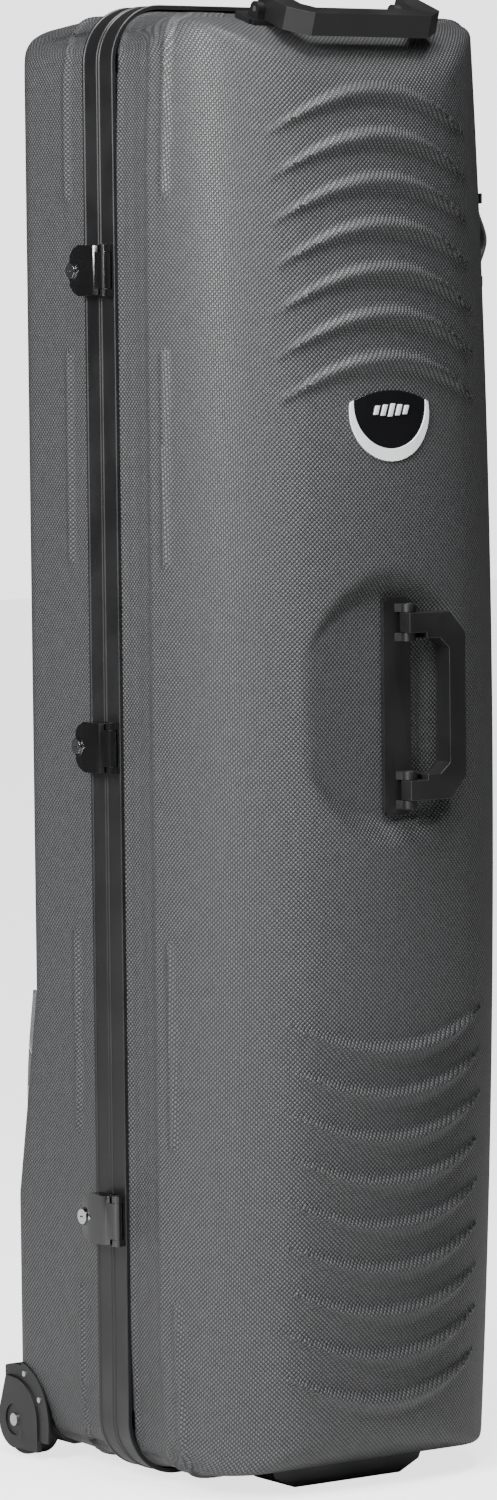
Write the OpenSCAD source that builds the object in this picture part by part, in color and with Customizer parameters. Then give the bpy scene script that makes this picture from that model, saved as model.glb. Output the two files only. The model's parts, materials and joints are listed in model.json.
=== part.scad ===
// Upright wheeled hard-shell equipment case: two moulded half shells joined by a
// frame of two rails, hinged on the right side and latched on the left side.
// X is across the case, -Y is its front, Z is up and the floor is z = 0.

/* [Case] */
// Width over the frame
frame_w = 340; // [270:1:410]
// Height from the floor to the top of the frame
case_h = 1277; // [1060:1:1540]
// Gap under the frame
frame_clear = 7; // [6:1:12]
// Corner radius of the frame
frame_r = 50; // [40:1:60]
// Depth of the front shell from the parting plane to its crown
lid_depth = 194.5; // [160:0.5:235]
// Depth of the rear shell above the wheel bulge
rear_depth = 142; // [118:1:172]
// Extra depth of the wheel bulge
bulge_depth = 32; // [20:1:40]
// Height at which the wheel bulge starts
bulge_start = 417; // [340:1:500]
// Height at which the wheel bulge is full
bulge_full = 235; // [190:1:280]
// Wall of both shells
shell_t = 3; // [2.4:0.1:3.8]
// Thickness of the padded linings
lining_t = 4; // [3:0.5:6]

/* [Front shell form] */
// Radius of the crown seen from above
crown_r = 311; // [260:1:380]
// Radius of the long side edges of the front shell
flank_r = 120; // [100:1:140]
// Radius of the crown seen from the side
dome_r = 7700; // [6400:10:9400]
// Radius of the top front edge
brow_r = 95; // [80:1:110]
// Radius of the bottom front edge
chin_r = 50; // [40:1:60]
// Fall of the top face towards the front, in degrees
top_fall = 8; // [5:0.5:9]
// Rise of the bottom face away from the frame, in degrees
bottom_rise = 5; // [3:0.5:6]

/* [Frame] */
// Width of one rail, front to back
rail_w = 23.5; // [20:0.5:28]
// Thickness of a rail
rail_t = 11; // [10:0.5:13]
// How far the rails stand proud of the shells
rail_proud = 4; // [3:0.5:5]
// Depth of the channel that holds the shell edge
channel_d = 12; // [9:0.5:14]
// Height of the sealing tongue
tongue_h = 4; // [3:0.5:5]
// Thickness of the sealing tongue
tongue_t = 2; // [1.6:0.2:2.4]
// Depth of the groove that takes the tongue
groove_d = 6.4; // [6:0.1:8]
// Side clearance of the tongue in its groove
groove_clear = 0.9; // [0.8:0.1:1.2]
// Thickness of the rubber seal in the groove
seal_t = 1.8; // [1.2:0.1:2]

/* [Latches and hinges] */
// Distance of the outer latches and hinges from the frame ends
latch_inset = 226; // [190:1:270]
// Height of a latch
latch_h = 44; // [38:1:52]
// Reach of a latch lever behind the parting plane
latch_reach = 31; // [30:0.5:36]
// Distance of the lock from the parting plane
lock_y = 21; // [19:0.5:23]
// Radius of the lock barrel
lock_r = 5; // [4:0.5:5]
// Radius of the latch and hinge pins
pin_r = 2; // [1.6:0.1:2.4]
// Radial running clearance of every pin and barrel
run_clear = 0.06; // [0.03:0.01:0.09]
// Height of a hinge
hinge_h = 60; // [48:1:72]

/* [Handles] */
// Length of a handle plate
plate_l = 187; // [160:1:224]
// Width of a handle plate
plate_w = 28; // [26:1:34]
// Thickness of a handle plate
plate_t = 5; // [4:0.5:6]
// Length of the bail over its arms
bail_l = 160; // [134:1:180]
// Reach of the bail from its pivot
bail_reach = 51; // [46:1:62]
// Thickness of the bail
bail_t = 20; // [18:0.5:22]
// Width of the grip
grip_w = 17; // [14:0.5:19]
// Height of the dish and front handle above mid height
dish_rise = 36; // [20:1:60]
// Depth of the dish below the crown
dish_d = 12; // [10:0.5:14]
// Width of the slope round the flat floor of the dish
dish_slope = 22; // [18:1:30]
// Place of the top handle round the brow, in degrees from its top
top_handle_turn = 15.68; // [10:0.01:20]
// Tilt of the top handle towards the front, in degrees
top_handle_tilt = 20; // [16:1:24]

/* [Wheels and foot] */
// Radius of a wheel
wheel_r = 32; // [30:0.5:34]
// Width of a wheel
wheel_w = 24; // [20:0.5:26]
// Distance of the axle behind the parting plane
axle_g = 162; // [160:0.5:164]
// Radius of a wheel axle
axle_r = 4; // [3:0.5:5]
// Radius of the corner notch that takes a wheel housing
notch_r = 50; // [48:0.5:52]
// Length of the front foot
foot_l = 164; // [140:1:190]
// Width of the front foot
foot_w = 58; // [50:1:66]

/* [Badge and strap] */
// Width of the badge
badge_w = 83; // [70:1:95]
// Distance of the badge below the top of the frame
badge_drop = 349; // [330:1:370]
// Width of the side pull strap
strap_w = 22; // [18:1:28]
// Length of the side pull strap
strap_l = 82; // [70:1:98]
// Bow of the side pull strap
strap_bow = 8; // [7:0.5:11]
// Width of the straps inside
tie_w = 38; // [30:1:50]

/* [Hidden] */
$fn = 48;

// Places that follow from the sizes above
half_w = frame_w / 2;
shell_half = half_w - rail_proud;
frame_z0 = frame_clear;
frame_z1 = case_h;
mid_z = (frame_z0 + frame_z1) / 2;
shell_z0 = frame_z0 + rail_proud;
shell_z1 = frame_z1 - rail_proud;
shell_edge = rail_w - channel_d;
bail_gap = 0.5;
handle_front = lid_depth - dish_d + plate_t + bail_gap + bail_t;
parting_y = (handle_front - axle_g - wheel_r) / 2;
latch_zs = [frame_z1 - latch_inset, mid_z, frame_z0 + latch_inset];
axle_y = parting_y + axle_g;
dish_z = mid_z + dish_rise;
dish_floor = lid_depth - dish_d;
badge_z = frame_z1 - badge_drop;
fit_gap = 0.4;
big = 1000;

// ---- Frames of reference -------------------------------------------------

// Extrudes an X-Z outline along Y, between two distances in front of the parting plane
module forward(f0, f1) {
    translate([0, parting_y - f0, 0]) rotate([90, 0, 0]) linear_extrude(f1 - f0) children();
}

// Extrudes an outline drawn as (distance in front, height) across the case
module across(x0, x1) {
    multmatrix([[0, 0, -1, x1], [-1, 0, 0, parting_y], [0, 1, 0, 0], [0, 0, 0, 1]])
        linear_extrude(x1 - x0) children();
}

// Repeats its children on both sides of the case
module both_sides() {
    children();
    mirror([1, 0, 0]) children();
}

// ---- Outlines of the case ------------------------------------------------

module round_rect(x0, x1, y0, y1, r) {
    translate([x0 + r, y0]) square([x1 - x0 - 2 * r, y1 - y0]);
    translate([x0, y0 + r]) square([x1 - x0, y1 - y0 - 2 * r]);
    for (x = [x0 + r, x1 - r], y = [y0 + r, y1 - r]) translate([x, y]) circle(r);
}

// The frame's outline in X-Z, moved inwards by an inset
module outline(inset) {
    round_rect(-half_w + inset, half_w - inset, frame_z0 + inset, frame_z1 - inset, frame_r - inset);
}

module ring_between(outer, inner, f0, f1) {
    difference() {
        forward(f0, f1) outline(outer);
        forward(f0 - 1, f1 + 1) outline(inner);
    }
}

// Points along an arc about a centre
function arc(c, r, a0, a1, n) = [for (i = [0:n]) c + r * [cos(a0 + (a1 - a0) * i / n), sin(a0 + (a1 - a0) * i / n)]];

// Plan of the front shell with drafted sides, drawn as (x, distance in front)
side_draft = 2;
flank_x = shell_half - flank_r - 0.3;
flank_h = sqrt(pow(crown_r - flank_r, 2) - pow(flank_x, 2));
flank_f = lid_depth - crown_r + flank_h;
flank_end = atan2(flank_h, flank_x);
module crown_plan(inset) {
    r = flank_r - inset;
    open = flank_x + r * cos(side_draft) + (flank_f - r * sin(side_draft) + 60) * tan(side_draft);
    span = 180 - 2 * flank_end;
    polygon(concat(
        [[open, -60]],
        arc([flank_x, flank_f], r, -side_draft, flank_end, 10),
        arc([0, lid_depth - crown_r], crown_r - inset, flank_end + span / 6, flank_end + span * 5 / 6, 4),
        arc([-flank_x, flank_f], r, 180 - flank_end, 180 + side_draft, 10),
        [[-open, -60]]
    ));
}

// The plan rises through the height and falls back along the dome, so the front is bowed both ways.
// Slopes are whole ten-thousandths, so that each length ends exactly where the next begins.
dome_steps = 8;
dome_z0 = floor(shell_z0 - 20);
dome_step = ceil((shell_z1 + 20 - dome_z0) / dome_steps);
function dome_slope(i) =
    round((dome_fall(dome_z0 + (i + 1) * dome_step) - dome_fall(dome_z0 + i * dome_step)) / dome_step * 10000) / 10000;
function dome_at(i) = i == 0 ? round(dome_fall(dome_z0) * 100) / 100 : dome_at(i - 1) + dome_slope(i - 1) * dome_step;
module crown(inset, from = 0, to = 10000) {
    for (i = [0:dome_steps - 1]) {
        z = dome_z0 + i * dome_step;
        if (z + dome_step > from && z < to)
            multmatrix([[1, 0, 0, 0], [0, -1, dome_slope(i), parting_y + dome_at(i)], [0, 0, 1, z], [0, 0, 0, 1]])
                linear_extrude(dome_step) crown_plan(inset);
    }
}

function dome_fall(z) = dome_r - sqrt(dome_r * dome_r - (z - mid_z) * (z - mid_z));
crisp = 1.5;
brow_f = lid_depth - dome_fall(shell_z1 - brow_r) - brow_r + crisp;
brow_z = shell_z1 - tan(top_fall) * (brow_f - rail_w) - brow_r / cos(top_fall);
chin_f = lid_depth - dome_fall(shell_z0 + chin_r) - chin_r + crisp;
chin_z = shell_z0 + tan(bottom_rise) * (chin_f - rail_w) + chin_r / cos(bottom_rise);

// Side view of the front shell: a falling top, a round brow and a round chin
module side_profile(inset, f0, bow) {
    brow = brow_r - inset;
    chin = chin_r - inset;
    polygon(concat(
        [[f0, shell_z0 + inset - (rail_w - f0) * tan(bottom_rise)]],
        arc([chin_f, chin_z], chin, bottom_rise - 90, 0, 12),
        [[chin_f + chin + bow, chin_z + bow], [brow_f + brow + bow, brow_z - bow]],
        arc([brow_f, brow_z], brow, 0, 90 - top_fall, 16),
        [[f0, shell_z1 - inset + (rail_w - f0) * tan(top_fall)]]
    ));
}

module lid_solid(inset, f0) {
    intersection() {
        forward(f0, lid_depth + 30) outline(rail_proud + inset);
        crown(inset);
        across(-half_w, half_w) side_profile(inset, f0 - 3, 60);
    }
}

// Straight-sided tray that stays inside the front shell, for its lining
module tray(inset) {
    fall = dome_fall(shell_z1) + 1;
    intersection() {
        forward(rail_w + 1 - (inset - lining_in), lid_depth) outline(rail_proud + inset);
        across(-half_w, half_w) side_profile(inset + 2, 0, 5);
        multmatrix([[1, 0, 0, 0], [0, -1, 0, parting_y + fall], [0, 0, 1, -1], [0, 0, 0, 1]])
            linear_extrude(case_h) crown_plan(inset);
    }
}

// The dish cuts the front from its floor outwards; a wall gives the cut of the inner face.
// Its flat floor just takes the corners of the handle plate.
handle_x = 5.5;
dish_r = norm([plate_l / 2, plate_w / 2 + handle_x]) + fit_gap;
module dish_cut(wall) {
    flare = dish_slope / dish_d;
    far = dish_d + 30;
    translate([0, parting_y - dish_floor + wall, dish_z]) rotate([90, 0, 0])
        cylinder(h = far + wall, r1 = dish_r + wall * 0.6, r2 = dish_r + flare * far + wall * 0.6);
}

// Plan of the rear shell with its two round back edges
back_r = 30;
module back_plan(depth, inset) {
    r = back_r - inset;
    turn = depth - back_r;
    w = shell_half - inset + 1.5 - turn * 0.016;
    translate([0, parting_y]) polygon(concat(
        [[w + (turn + 10) * 0.016, -10]],
        arc([w - r, turn], r, 0, 90, 10),
        arc([r - w, turn], r, 90, 180, 10),
        [[-w - (turn + 10) * 0.016, -10]]
    ));
}

crest_r = 45;
heel_r = 40;
crest_g = rear_depth - crest_r + crisp;
crest_z = shell_z1 - tan(top_fall) * (crest_g - rail_w) - crest_r / cos(top_fall);
heel_g = rear_depth + bulge_depth - heel_r + crisp;
heel_z = shell_z0 + tan(bottom_rise) * (heel_g - rail_w) + heel_r / cos(bottom_rise);

// Side view of the rear shell with the wheel bulge, drawn behind the parting plane
module back_profile(inset, g0) {
    crest = crest_r - inset;
    heel = heel_r - inset;
    slope = atan(bulge_depth / (bulge_start - bulge_full));
    mirror([1, 0, 0]) polygon(concat(
        [[g0, shell_z0 + inset - (rail_w - g0) * tan(bottom_rise)]],
        arc([heel_g, heel_z], heel, bottom_rise - 90, 0, 12),
        [[rear_depth + bulge_depth - inset + crisp, bulge_full - inset * tan(slope / 2)]],
        [[rear_depth - inset + crisp, bulge_start - 2]],
        arc([crest_g, crest_z], crest, 0, 90 - top_fall, 12),
        [[g0, shell_z1 - inset + (rail_w - g0) * tan(top_fall)]]
    ));
}

module rear_solid(inset, g0) {
    deep = rear_depth + bulge_depth;
    intersection() {
        forward(-deep - 5, -g0) outline(rail_proud + inset);
        across(-half_w, half_w) back_profile(inset, g0 - 3);
        union() {
            translate([0, 0, bulge_start]) linear_extrude(case_h) back_plan(rear_depth, inset);
            linear_extrude(bulge_start) back_plan(deep, inset);
        }
    }
}

housing_in = shell_half - 42;
// Round clearance about the axle, from an inner x outwards
module corner_round(r, x0, x1) {
    translate([x0, axle_y, wheel_r]) rotate([0, 90, 0]) cylinder(h = x1 - x0, r = r);
}

// ---- Base: rear shell, rail, seal and lining -----------------------------

module rear_shell() {
    color("dimgray") difference() {
        rear_solid(0, shell_edge);
        rear_solid(shell_t, shell_edge - 6);
        both_sides() corner_round(notch_r, housing_in, half_w + 20);
    }
}

module rail(sign) {
    f0 = sign > 0 ? 0 : -rail_w;
    slot0 = sign > 0 ? shell_edge - 0.2 : -rail_w - 1;
    slot1 = sign > 0 ? rail_w + 1 : -shell_edge + 0.2;
    difference() {
        ring_between(0, rail_t, f0, f0 + rail_w);
        ring_between(rail_proud - 0.05, rail_proud + shell_t + 0.05, slot0, slot1);
    }
}

tongue_in = rail_proud + 0.5 + groove_clear;
module rear_rail() {
    color("black") difference() {
        rail(-1);
        ring_between(tongue_in - groove_clear, tongue_in + tongue_t + groove_clear, -groove_d, 1);
    }
}

module frame_seal() {
    color("darkslategray")
        ring_between(tongue_in - groove_clear, tongue_in + tongue_t + groove_clear, -groove_d, -groove_d + seal_t);
}

lining_in = shell_t + fit_gap;
module rear_lining() {
    color("black") difference() {
        rear_solid(lining_in, rail_w + 1);
        rear_solid(lining_in + lining_t, rail_w - 5);
        both_sides() corner_round(notch_r + fit_gap, housing_in - fit_gap, half_w);
    }
}

// ---- Wheels --------------------------------------------------------------

cheek_r = 38;
guard_r = 25.5;
cheek_x = half_w;
cheek_t = 4.5;
wheel_gap = 3.5;
wheel_x0 = cheek_x - cheek_t - 2.5 - wheel_w;

// Outer cheek seen from the side, about the axle, drawn as (distance in front, height)
module cheek_outline() {
    circle(guard_r);
    intersection() {
        circle(cheek_r);
        square(cheek_r);
    }
    translate([0, -guard_r + 1]) square([cheek_r, guard_r - 1]);
    polygon([[0, 0], [0, cheek_r], [-13, cheek_r + 1], [-18, 25], [-23, 11]]);
}

// Wheel housing on the right side: a bucket that closes the notch, a flange and a cheek
module wheel_housing() {
    color("black") difference() {
        union() {
            intersection() {
                corner_round(notch_r - 0.1, housing_in + 0.1, shell_half + 1);
                forward(-rear_depth - bulge_depth - 6, 0) outline(rail_proud - 1);
                translate([0, 0, shell_z0 + 2]) cube(big);
            }
            intersection() {
                corner_round(notch_r + 4, shell_half, shell_half + 2);
                translate([0, 0, shell_z0 + 6]) cube([big, parting_y + rear_depth + bulge_depth - 22, big]);
            }
            translate([0, axle_g, wheel_r]) across(cheek_x - cheek_t, cheek_x) cheek_outline();
        }
        corner_round(wheel_r + wheel_gap, wheel_x0 - 2.5, cheek_x - cheek_t);
        translate([wheel_x0 - 2.5, axle_y, -wheel_gap - 5])
            cube([wheel_w + 5, wheel_r + wheel_gap, wheel_r + 5]);
        corner_round(axle_r + run_clear, 0, big);
        corner_round(14, cheek_x - 1.5, big);
    }
}

module wheel_axle() {
    color("silver") {
        corner_round(axle_r, housing_in + 3, cheek_x - 1.5);
        corner_round(axle_r + 1.6, cheek_x - 1.5, cheek_x + 0.6);
    }
}

module wheel_hub() {
    color("gray") difference() {
        union() {
            corner_round(wheel_r - 10, wheel_x0 + 2, wheel_x0 + wheel_w - 2);
            corner_round(axle_r + 5, wheel_x0, wheel_x0 + wheel_w);
        }
        corner_round(axle_r + run_clear, 0, big);
        for (a = [0:60:300]) translate([0, axle_y, wheel_r]) rotate([a, 0, 0])
            translate([wheel_x0 + wheel_w - 8, 0, (wheel_r - 10) * 0.66]) rotate([0, 90, 0]) cylinder(h = big, r = 3);
    }
}

module wheel_tyre() {
    color("black") translate([wheel_x0, axle_y, wheel_r]) rotate([0, 90, 0]) difference() {
        union() {
            cylinder(h = wheel_w, r = wheel_r - 4);
            translate([0, 0, 4]) cylinder(h = wheel_w - 8, r = wheel_r);
            for (z = [4, wheel_w - 4]) translate([0, 0, z])
                rotate_extrude() translate([wheel_r - 4, 0]) circle(4);
        }
        translate([0, 0, -1]) cylinder(h = wheel_w + 2, r = wheel_r - 10);
    }
}

module wheel_housing_left() { mirror([1, 0, 0]) wheel_housing(); }
module wheel_housing_right() { wheel_housing(); }
module wheel_axle_left() { mirror([1, 0, 0]) wheel_axle(); }
module wheel_axle_right() { wheel_axle(); }
module wheel_hub_left() { mirror([1, 0, 0]) wheel_hub(); }
module wheel_hub_right() { wheel_hub(); }
module wheel_tyre_left() { mirror([1, 0, 0]) wheel_tyre(); }
module wheel_tyre_right() { wheel_tyre(); }

module housing_rivets() {
    color("silver") both_sides() for (a = [20, 60])
        translate([shell_half + 2, axle_y, wheel_r]) rotate([a, 0, 0])
            translate([0, 0, notch_r - 4]) rotate([0, 90, 0]) cylinder(h = 1.2, r = 2.5);
}

// ---- Hinges on the right side --------------------------------------------

leaf_t = 2;
knuckle_r = pin_r + 2;
hinge_x = half_w + knuckle_r + 0.6;
leaf_w = rail_w - 3;
knuckle_h = hinge_h / 5;

// One leaf; its knuckles are those whose number has the given parity
module hinge_leaf(side, parity) {
    y0 = side > 0 ? parting_y + 1 : parting_y - 1 - leaf_w;
    arm = knuckle_r + 2;
    for (z = latch_zs) difference() {
        union() {
            translate([half_w, y0, z - hinge_h / 2]) cube([leaf_t, leaf_w, hinge_h]);
            for (i = [0:4]) if (i % 2 == parity) translate([0, 0, z - hinge_h / 2 + i * knuckle_h]) {
                translate([hinge_x, parting_y, 0.15]) cylinder(h = knuckle_h - 0.3, r = knuckle_r);
                translate([half_w + 0.6, side > 0 ? parting_y : parting_y - arm, 0.15])
                    cube([leaf_t, arm, knuckle_h - 0.3]);
            }
        }
        translate([hinge_x, parting_y, z - hinge_h]) cylinder(h = 2 * hinge_h, r = pin_r + (parity == 1 ? run_clear : 0));
        for (i = [0:4]) if (i % 2 != parity) translate([0, 0, z - hinge_h / 2 + i * knuckle_h - 0.15])
            translate([hinge_x, parting_y, 0]) cylinder(h = knuckle_h + 0.3, r = knuckle_r + 0.3);
        for (s = [-1, 1]) translate([half_w - 1, y0 + leaf_w / 2, z + s * hinge_h * 0.32])
            rotate([0, 90, 0]) cylinder(h = 10, r = 1.6);
    }
}

module hinge_rivets(side) {
    y = parting_y + side * (1 + leaf_w / 2);
    for (z = latch_zs, s = [-1, 1]) translate([half_w, y, z + s * hinge_h * 0.32]) rotate([0, 90, 0]) {
        cylinder(h = leaf_t, r = 1.55);
        translate([0, 0, leaf_t]) cylinder(h = 1.2, r = 3.2);
    }
}

module hinge_leaves_rear() { color("black") hinge_leaf(1, 0); }
module hinge_leaves_lid() { color("black") hinge_leaf(-1, 1); }
module hinge_rivets_rear() { color("silver") hinge_rivets(1); }
module hinge_rivets_lid() { color("silver") hinge_rivets(-1); }
module hinge_pins() {
    color("silver") for (z = latch_zs)
        translate([hinge_x, parting_y, z - hinge_h / 2]) cylinder(h = hinge_h, r = pin_r);
}

// ---- Latches on the left side ---------------------------------------------
// Each is drawn at the frame's left face: x falls outwards, y is behind the parting plane

module at_latch(i) {
    translate([-half_w, parting_y, latch_zs[i]]) children();
}

// Draws a plan of the latch, given as (distance behind, distance outwards), to a height
module latch_plan(z0, z1) {
    multmatrix([[0, -1, 0, 0], [1, 0, 0, 0], [0, 0, 1, z0], [0, 0, 0, 1]]) linear_extrude(z1 - z0) children();
}

pivot_y = -rail_w + 3;
pivot_out = 7;
barrel_r = 4.6;
barrel_half = latch_h / 2 - 6.4;
lever_out = 15;
lever_floor = 4;

module latch_keepers() {
    color("black") for (i = [0:2]) at_latch(i) difference() {
        translate([-leaf_t, 2, -latch_h * 0.4]) cube([leaf_t, rail_w - 3.5, latch_h * 0.8]);
        translate([-leaf_t - 1, lock_y - 9.5, -3.5]) cube([leaf_t + 2, 8, 7]);
        for (s = [-1, 1]) translate([-5, 8, s * latch_h * 0.3]) rotate([0, 90, 0]) cylinder(h = 10, r = 1.6);
    }
}

module keeper_rivets() {
    color("silver") for (i = [0:2], s = [-1, 1]) at_latch(i) translate([0, 8, s * latch_h * 0.3])
        rotate([0, -90, 0]) {
            cylinder(h = leaf_t, r = 1.55);
            translate([0, 0, leaf_t]) cylinder(h = 0.9, r = 2.8);
        }
}

module latch_plates() {
    color("black") for (i = [0:2]) at_latch(i) difference() {
        union() {
            translate([-leaf_t, -rail_w + 0.5, -latch_h / 2]) cube([leaf_t, rail_w - 2, latch_h]);
            for (z = [-latch_h / 2, barrel_half + 0.4]) latch_plan(z, z + latch_h / 2 - barrel_half - 0.4) {
                translate([pivot_y, pivot_out]) circle(barrel_r);
                translate([pivot_y - 2.6, 1]) square([5.2, pivot_out - 1]);
            }
        }
        latch_plan(-latch_h, latch_h) translate([pivot_y, pivot_out]) circle(pin_r);
        for (s = [-1, 1]) translate([-5, -9, s * latch_h * 0.3]) rotate([0, 90, 0]) cylinder(h = 10, r = 1.6);
    }
}

module latch_rivets() {
    color("silver") for (i = [0:2], s = [-1, 1]) at_latch(i) translate([0, -9, s * latch_h * 0.3])
        rotate([0, -90, 0]) {
            cylinder(h = leaf_t, r = 1.55);
            translate([0, 0, leaf_t]) cylinder(h = 0.9, r = 2.8);
        }
}

module latch_pins() {
    color("silver") for (i = [0:2]) at_latch(i)
        latch_plan(-latch_h / 2, latch_h / 2) translate([pivot_y, pivot_out]) circle(pin_r);
}

lock_boss_r = lock_r + 3;
module latch_lever(i) {
    body_y = pivot_y + barrel_r + 0.8;
    color("black") at_latch(i) difference() {
        union() {
            latch_plan(-barrel_half, barrel_half) {
                translate([pivot_y, pivot_out]) circle(barrel_r);
                polygon([
                    [pivot_y, pivot_out - 2], [body_y + 1, lever_floor + 0.5],
                    [body_y + 1, lever_out - 1], [pivot_y, pivot_out + barrel_r]
                ]);
            }
            intersection() {
                latch_plan(-latch_h / 2 - 1, latch_h / 2 + 1) polygon([
                    [body_y, lever_floor], [latch_reach + 1, lever_floor], [latch_reach + 1, lever_out - 6],
                    [latch_reach - 4, lever_out - 2.5], [lock_y - 8, lever_out],
                    [body_y + 9, lever_out], [body_y + 3, lever_out - 1], [body_y, lever_out - 4]
                ]);
                rotate([0, -90, 0]) linear_extrude(30) polygon([
                    [-latch_h / 2 + 1, body_y - 1], [latch_h / 2 - 1, body_y - 1], [latch_h / 2, lock_y - 12],
                    [latch_h / 2 - 4, lock_y], [9, latch_reach], [-9, latch_reach],
                    [-latch_h / 2 + 4, lock_y], [-latch_h / 2, lock_y - 12]
                ]);
            }
            translate([0, lock_y, 0]) rotate([0, -90, 0]) translate([0, 0, lever_floor + 1])
                cylinder(h = lever_out - lever_floor - 1.4, r = lock_boss_r);
        }
        latch_plan(-latch_h, latch_h) translate([pivot_y, pivot_out]) circle(pin_r + run_clear);
        translate([-big / 2, lock_y, 0]) rotate([0, 90, 0]) cylinder(h = big, r = lock_r + run_clear);
        translate([-lever_floor - 4, lock_y, 0]) rotate([0, 90, 0]) cylinder(h = 10, r = lock_r + 2.2);
    }
}

// Lock: a round face with a key slot, a barrel and a cam behind the lever
module lock_cylinder(i) {
    color("silver") at_latch(i) translate([0, lock_y, 0]) rotate([0, -90, 0]) difference() {
        union() {
            translate([0, 0, lever_floor + 3.4]) cylinder(h = lever_out - lever_floor - 3.4, r = lock_r);
            translate([0, 0, lever_out + 0.1]) cylinder(h = 1.4, r = lock_r + 1.6);
            translate([0, 0, lever_out - 0.1]) cylinder(h = 0.4, r = lock_r);
            translate([-2, -lock_r - 1.2, lever_floor + 1]) cube([4, lock_r + 2, 2.6]);
        }
        translate([-0.6, -2.8, lever_out - 2]) cube([1.2, 5.6, big]);
    }
}

// Small raised pointer beside the lock
module lock_marker(i) {
    color("silver") at_latch(i) translate([-lever_out, lock_y - lock_boss_r - 1, 0]) rotate([0, -90, 0])
        linear_extrude(0.6) polygon([[2.2, 0], [-2.2, 0], [0, -4]]);
}

module latch_lever_upper() { latch_lever(0); }
module latch_lever_middle() { latch_lever(1); }
module latch_lever_lower() { latch_lever(2); }
module lock_cylinder_upper() { lock_cylinder(0); }
module lock_cylinder_middle() { lock_cylinder(1); }
module lock_cylinder_lower() { lock_cylinder(2); }
module lock_marker_upper() { lock_marker(0); }
module lock_marker_middle() { lock_marker(1); }
module lock_marker_lower() { lock_marker(2); }

// ---- Inside straps ---------------------------------------------------------

tie_zs = [mid_z - 230, mid_z + 260];
tie_half = shell_half - lining_in - lining_t - 26;
tie_y = parting_y + rear_depth - lining_in - lining_t - 1;
module tie_straps() {
    color("black") for (z = tie_zs) translate([-tie_half, tie_y - 3.6, z - tie_w / 2]) cube([2 * tie_half, 1.8, tie_w]);
}

module tie_buckles() {
    color("dimgray") for (z = tie_zs) translate([0, tie_y - 3.6, z]) difference() {
        translate([-32, -8, -tie_w / 2 - 4]) cube([64, 8, tie_w + 8]);
        for (s = [-1, 1]) translate([s * 24 - 3, -9, -tie_w / 2]) cube([6, 6, tie_w]);
    }
}

module tie_anchors() {
    color("gray") for (z = tie_zs, s = [-1, 1]) translate([s * (tie_half - 8), tie_y, z]) {
        translate([-9, -1.6, -tie_w / 2 - 8]) cube([18, 1.6, tie_w + 16]);
        for (e = [-1, 1]) translate([0, -6, e * (tie_w / 2 + 3.5)]) rotate([-90, 0, 0]) cylinder(h = 6, r = 3);
    }
}

// ---- Lid: front shell, rail and lining -------------------------------------

module lid_shell() {
    color("dimgray") difference() {
        lid_solid(0, shell_edge);
        dish_cut(0);
        difference() {
            lid_solid(shell_t, shell_edge - 6);
            dish_cut(shell_t);
        }
        front_handle_frame() screw_places() translate([0, 0, -big / 2]) cylinder(h = big, r = screw_r + 0.1);
        top_handle_frame() screw_places() translate([0, 0, -30]) cylinder(h = 60, r = screw_r + 0.1);
        foot_screw_places() translate([0, 0, -20]) cylinder(h = 60, r = screw_r + 0.1);
    }
}

module lid_rail() {
    color("black") {
        rail(1);
        ring_between(tongue_in, tongue_in + tongue_t, -tongue_h, 0.5);
    }
}

module lid_lining() {
    color("black") difference() {
        tray(lining_in);
        tray(lining_in + lining_t);
        top_handle_frame() translate([-plate_w / 2 - 1, -plate_l / 2 - 1, -30])
            cube([plate_w + 2, plate_l + 2, 40]);
        foot_screw_places() translate([0, 0, -20]) cylinder(h = 60, r = 8);
    }
}

// ---- Handles ----------------------------------------------------------------
// Local frame: x runs from the pivot to the grip, y along the handle, z outwards

screw_r = 2;
lug_t = 7;
arm_w = 22;
pivot_x = 6.5;
pivot_z = plate_t + 8;
bore_r = 2.5;
knuckle_in = bail_l / 2 - 17;

module front_handle_frame() {
    translate([handle_x, parting_y - dish_floor, dish_z]) rotate([90, 0, 0]) children();
}

top_handle_f = brow_f + brow_r * sin(top_handle_turn);
top_handle_z = brow_z + brow_r * cos(top_handle_turn);
module top_handle_frame() {
    translate([0, parting_y - top_handle_f, top_handle_z - 0.5])
        rotate([top_handle_tilt, 0, 0]) rotate([0, 0, -90]) children();
}

module screw_places() {
    for (x = [-plate_w / 2 + 6, plate_w / 2 - 6], y = [-1, 1])
        translate([x, y * (plate_l / 2 - 46), 0]) children();
}

module lug_plan() {
    translate([pivot_x, pivot_z]) circle(bore_r + 4);
    polygon([[pivot_x - 9, plate_t - 1], [pivot_x - 5, pivot_z + 3], [pivot_x + 5, pivot_z + 3], [pivot_x + 7.4, plate_t - 1]]);
}

// Lays an x-z plan along the handle between two values of y
module along(y0, y1) {
    translate([0, y1, 0]) rotate([90, 0, 0]) linear_extrude(y1 - y0) children();
}

module handle_base() {
    difference() {
        union() {
            translate([-plate_w / 2 + 3, -plate_l / 2, 0]) cube([plate_w - 6, plate_l, plate_t]);
            translate([-plate_w / 2, -plate_l / 2 + 3, 0]) cube([plate_w, plate_l - 6, plate_t]);
            for (s = [-1, 1]) {
                outer = bail_l / 2 + 0.4;
                inner = knuckle_in - 0.4 - lug_t;
                along(s > 0 ? outer : -outer - lug_t, s > 0 ? outer + lug_t : -outer) lug_plan();
                along(s > 0 ? inner : -inner - lug_t, s > 0 ? inner + lug_t : -inner) lug_plan();
            }
        }
        along(-plate_l, plate_l) translate([pivot_x, pivot_z]) circle(bore_r);
        screw_places() translate([0, 0, -big / 2]) cylinder(h = big / 2 + plate_t - 1.5, r = screw_r + 0.1);
    }
}

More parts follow.
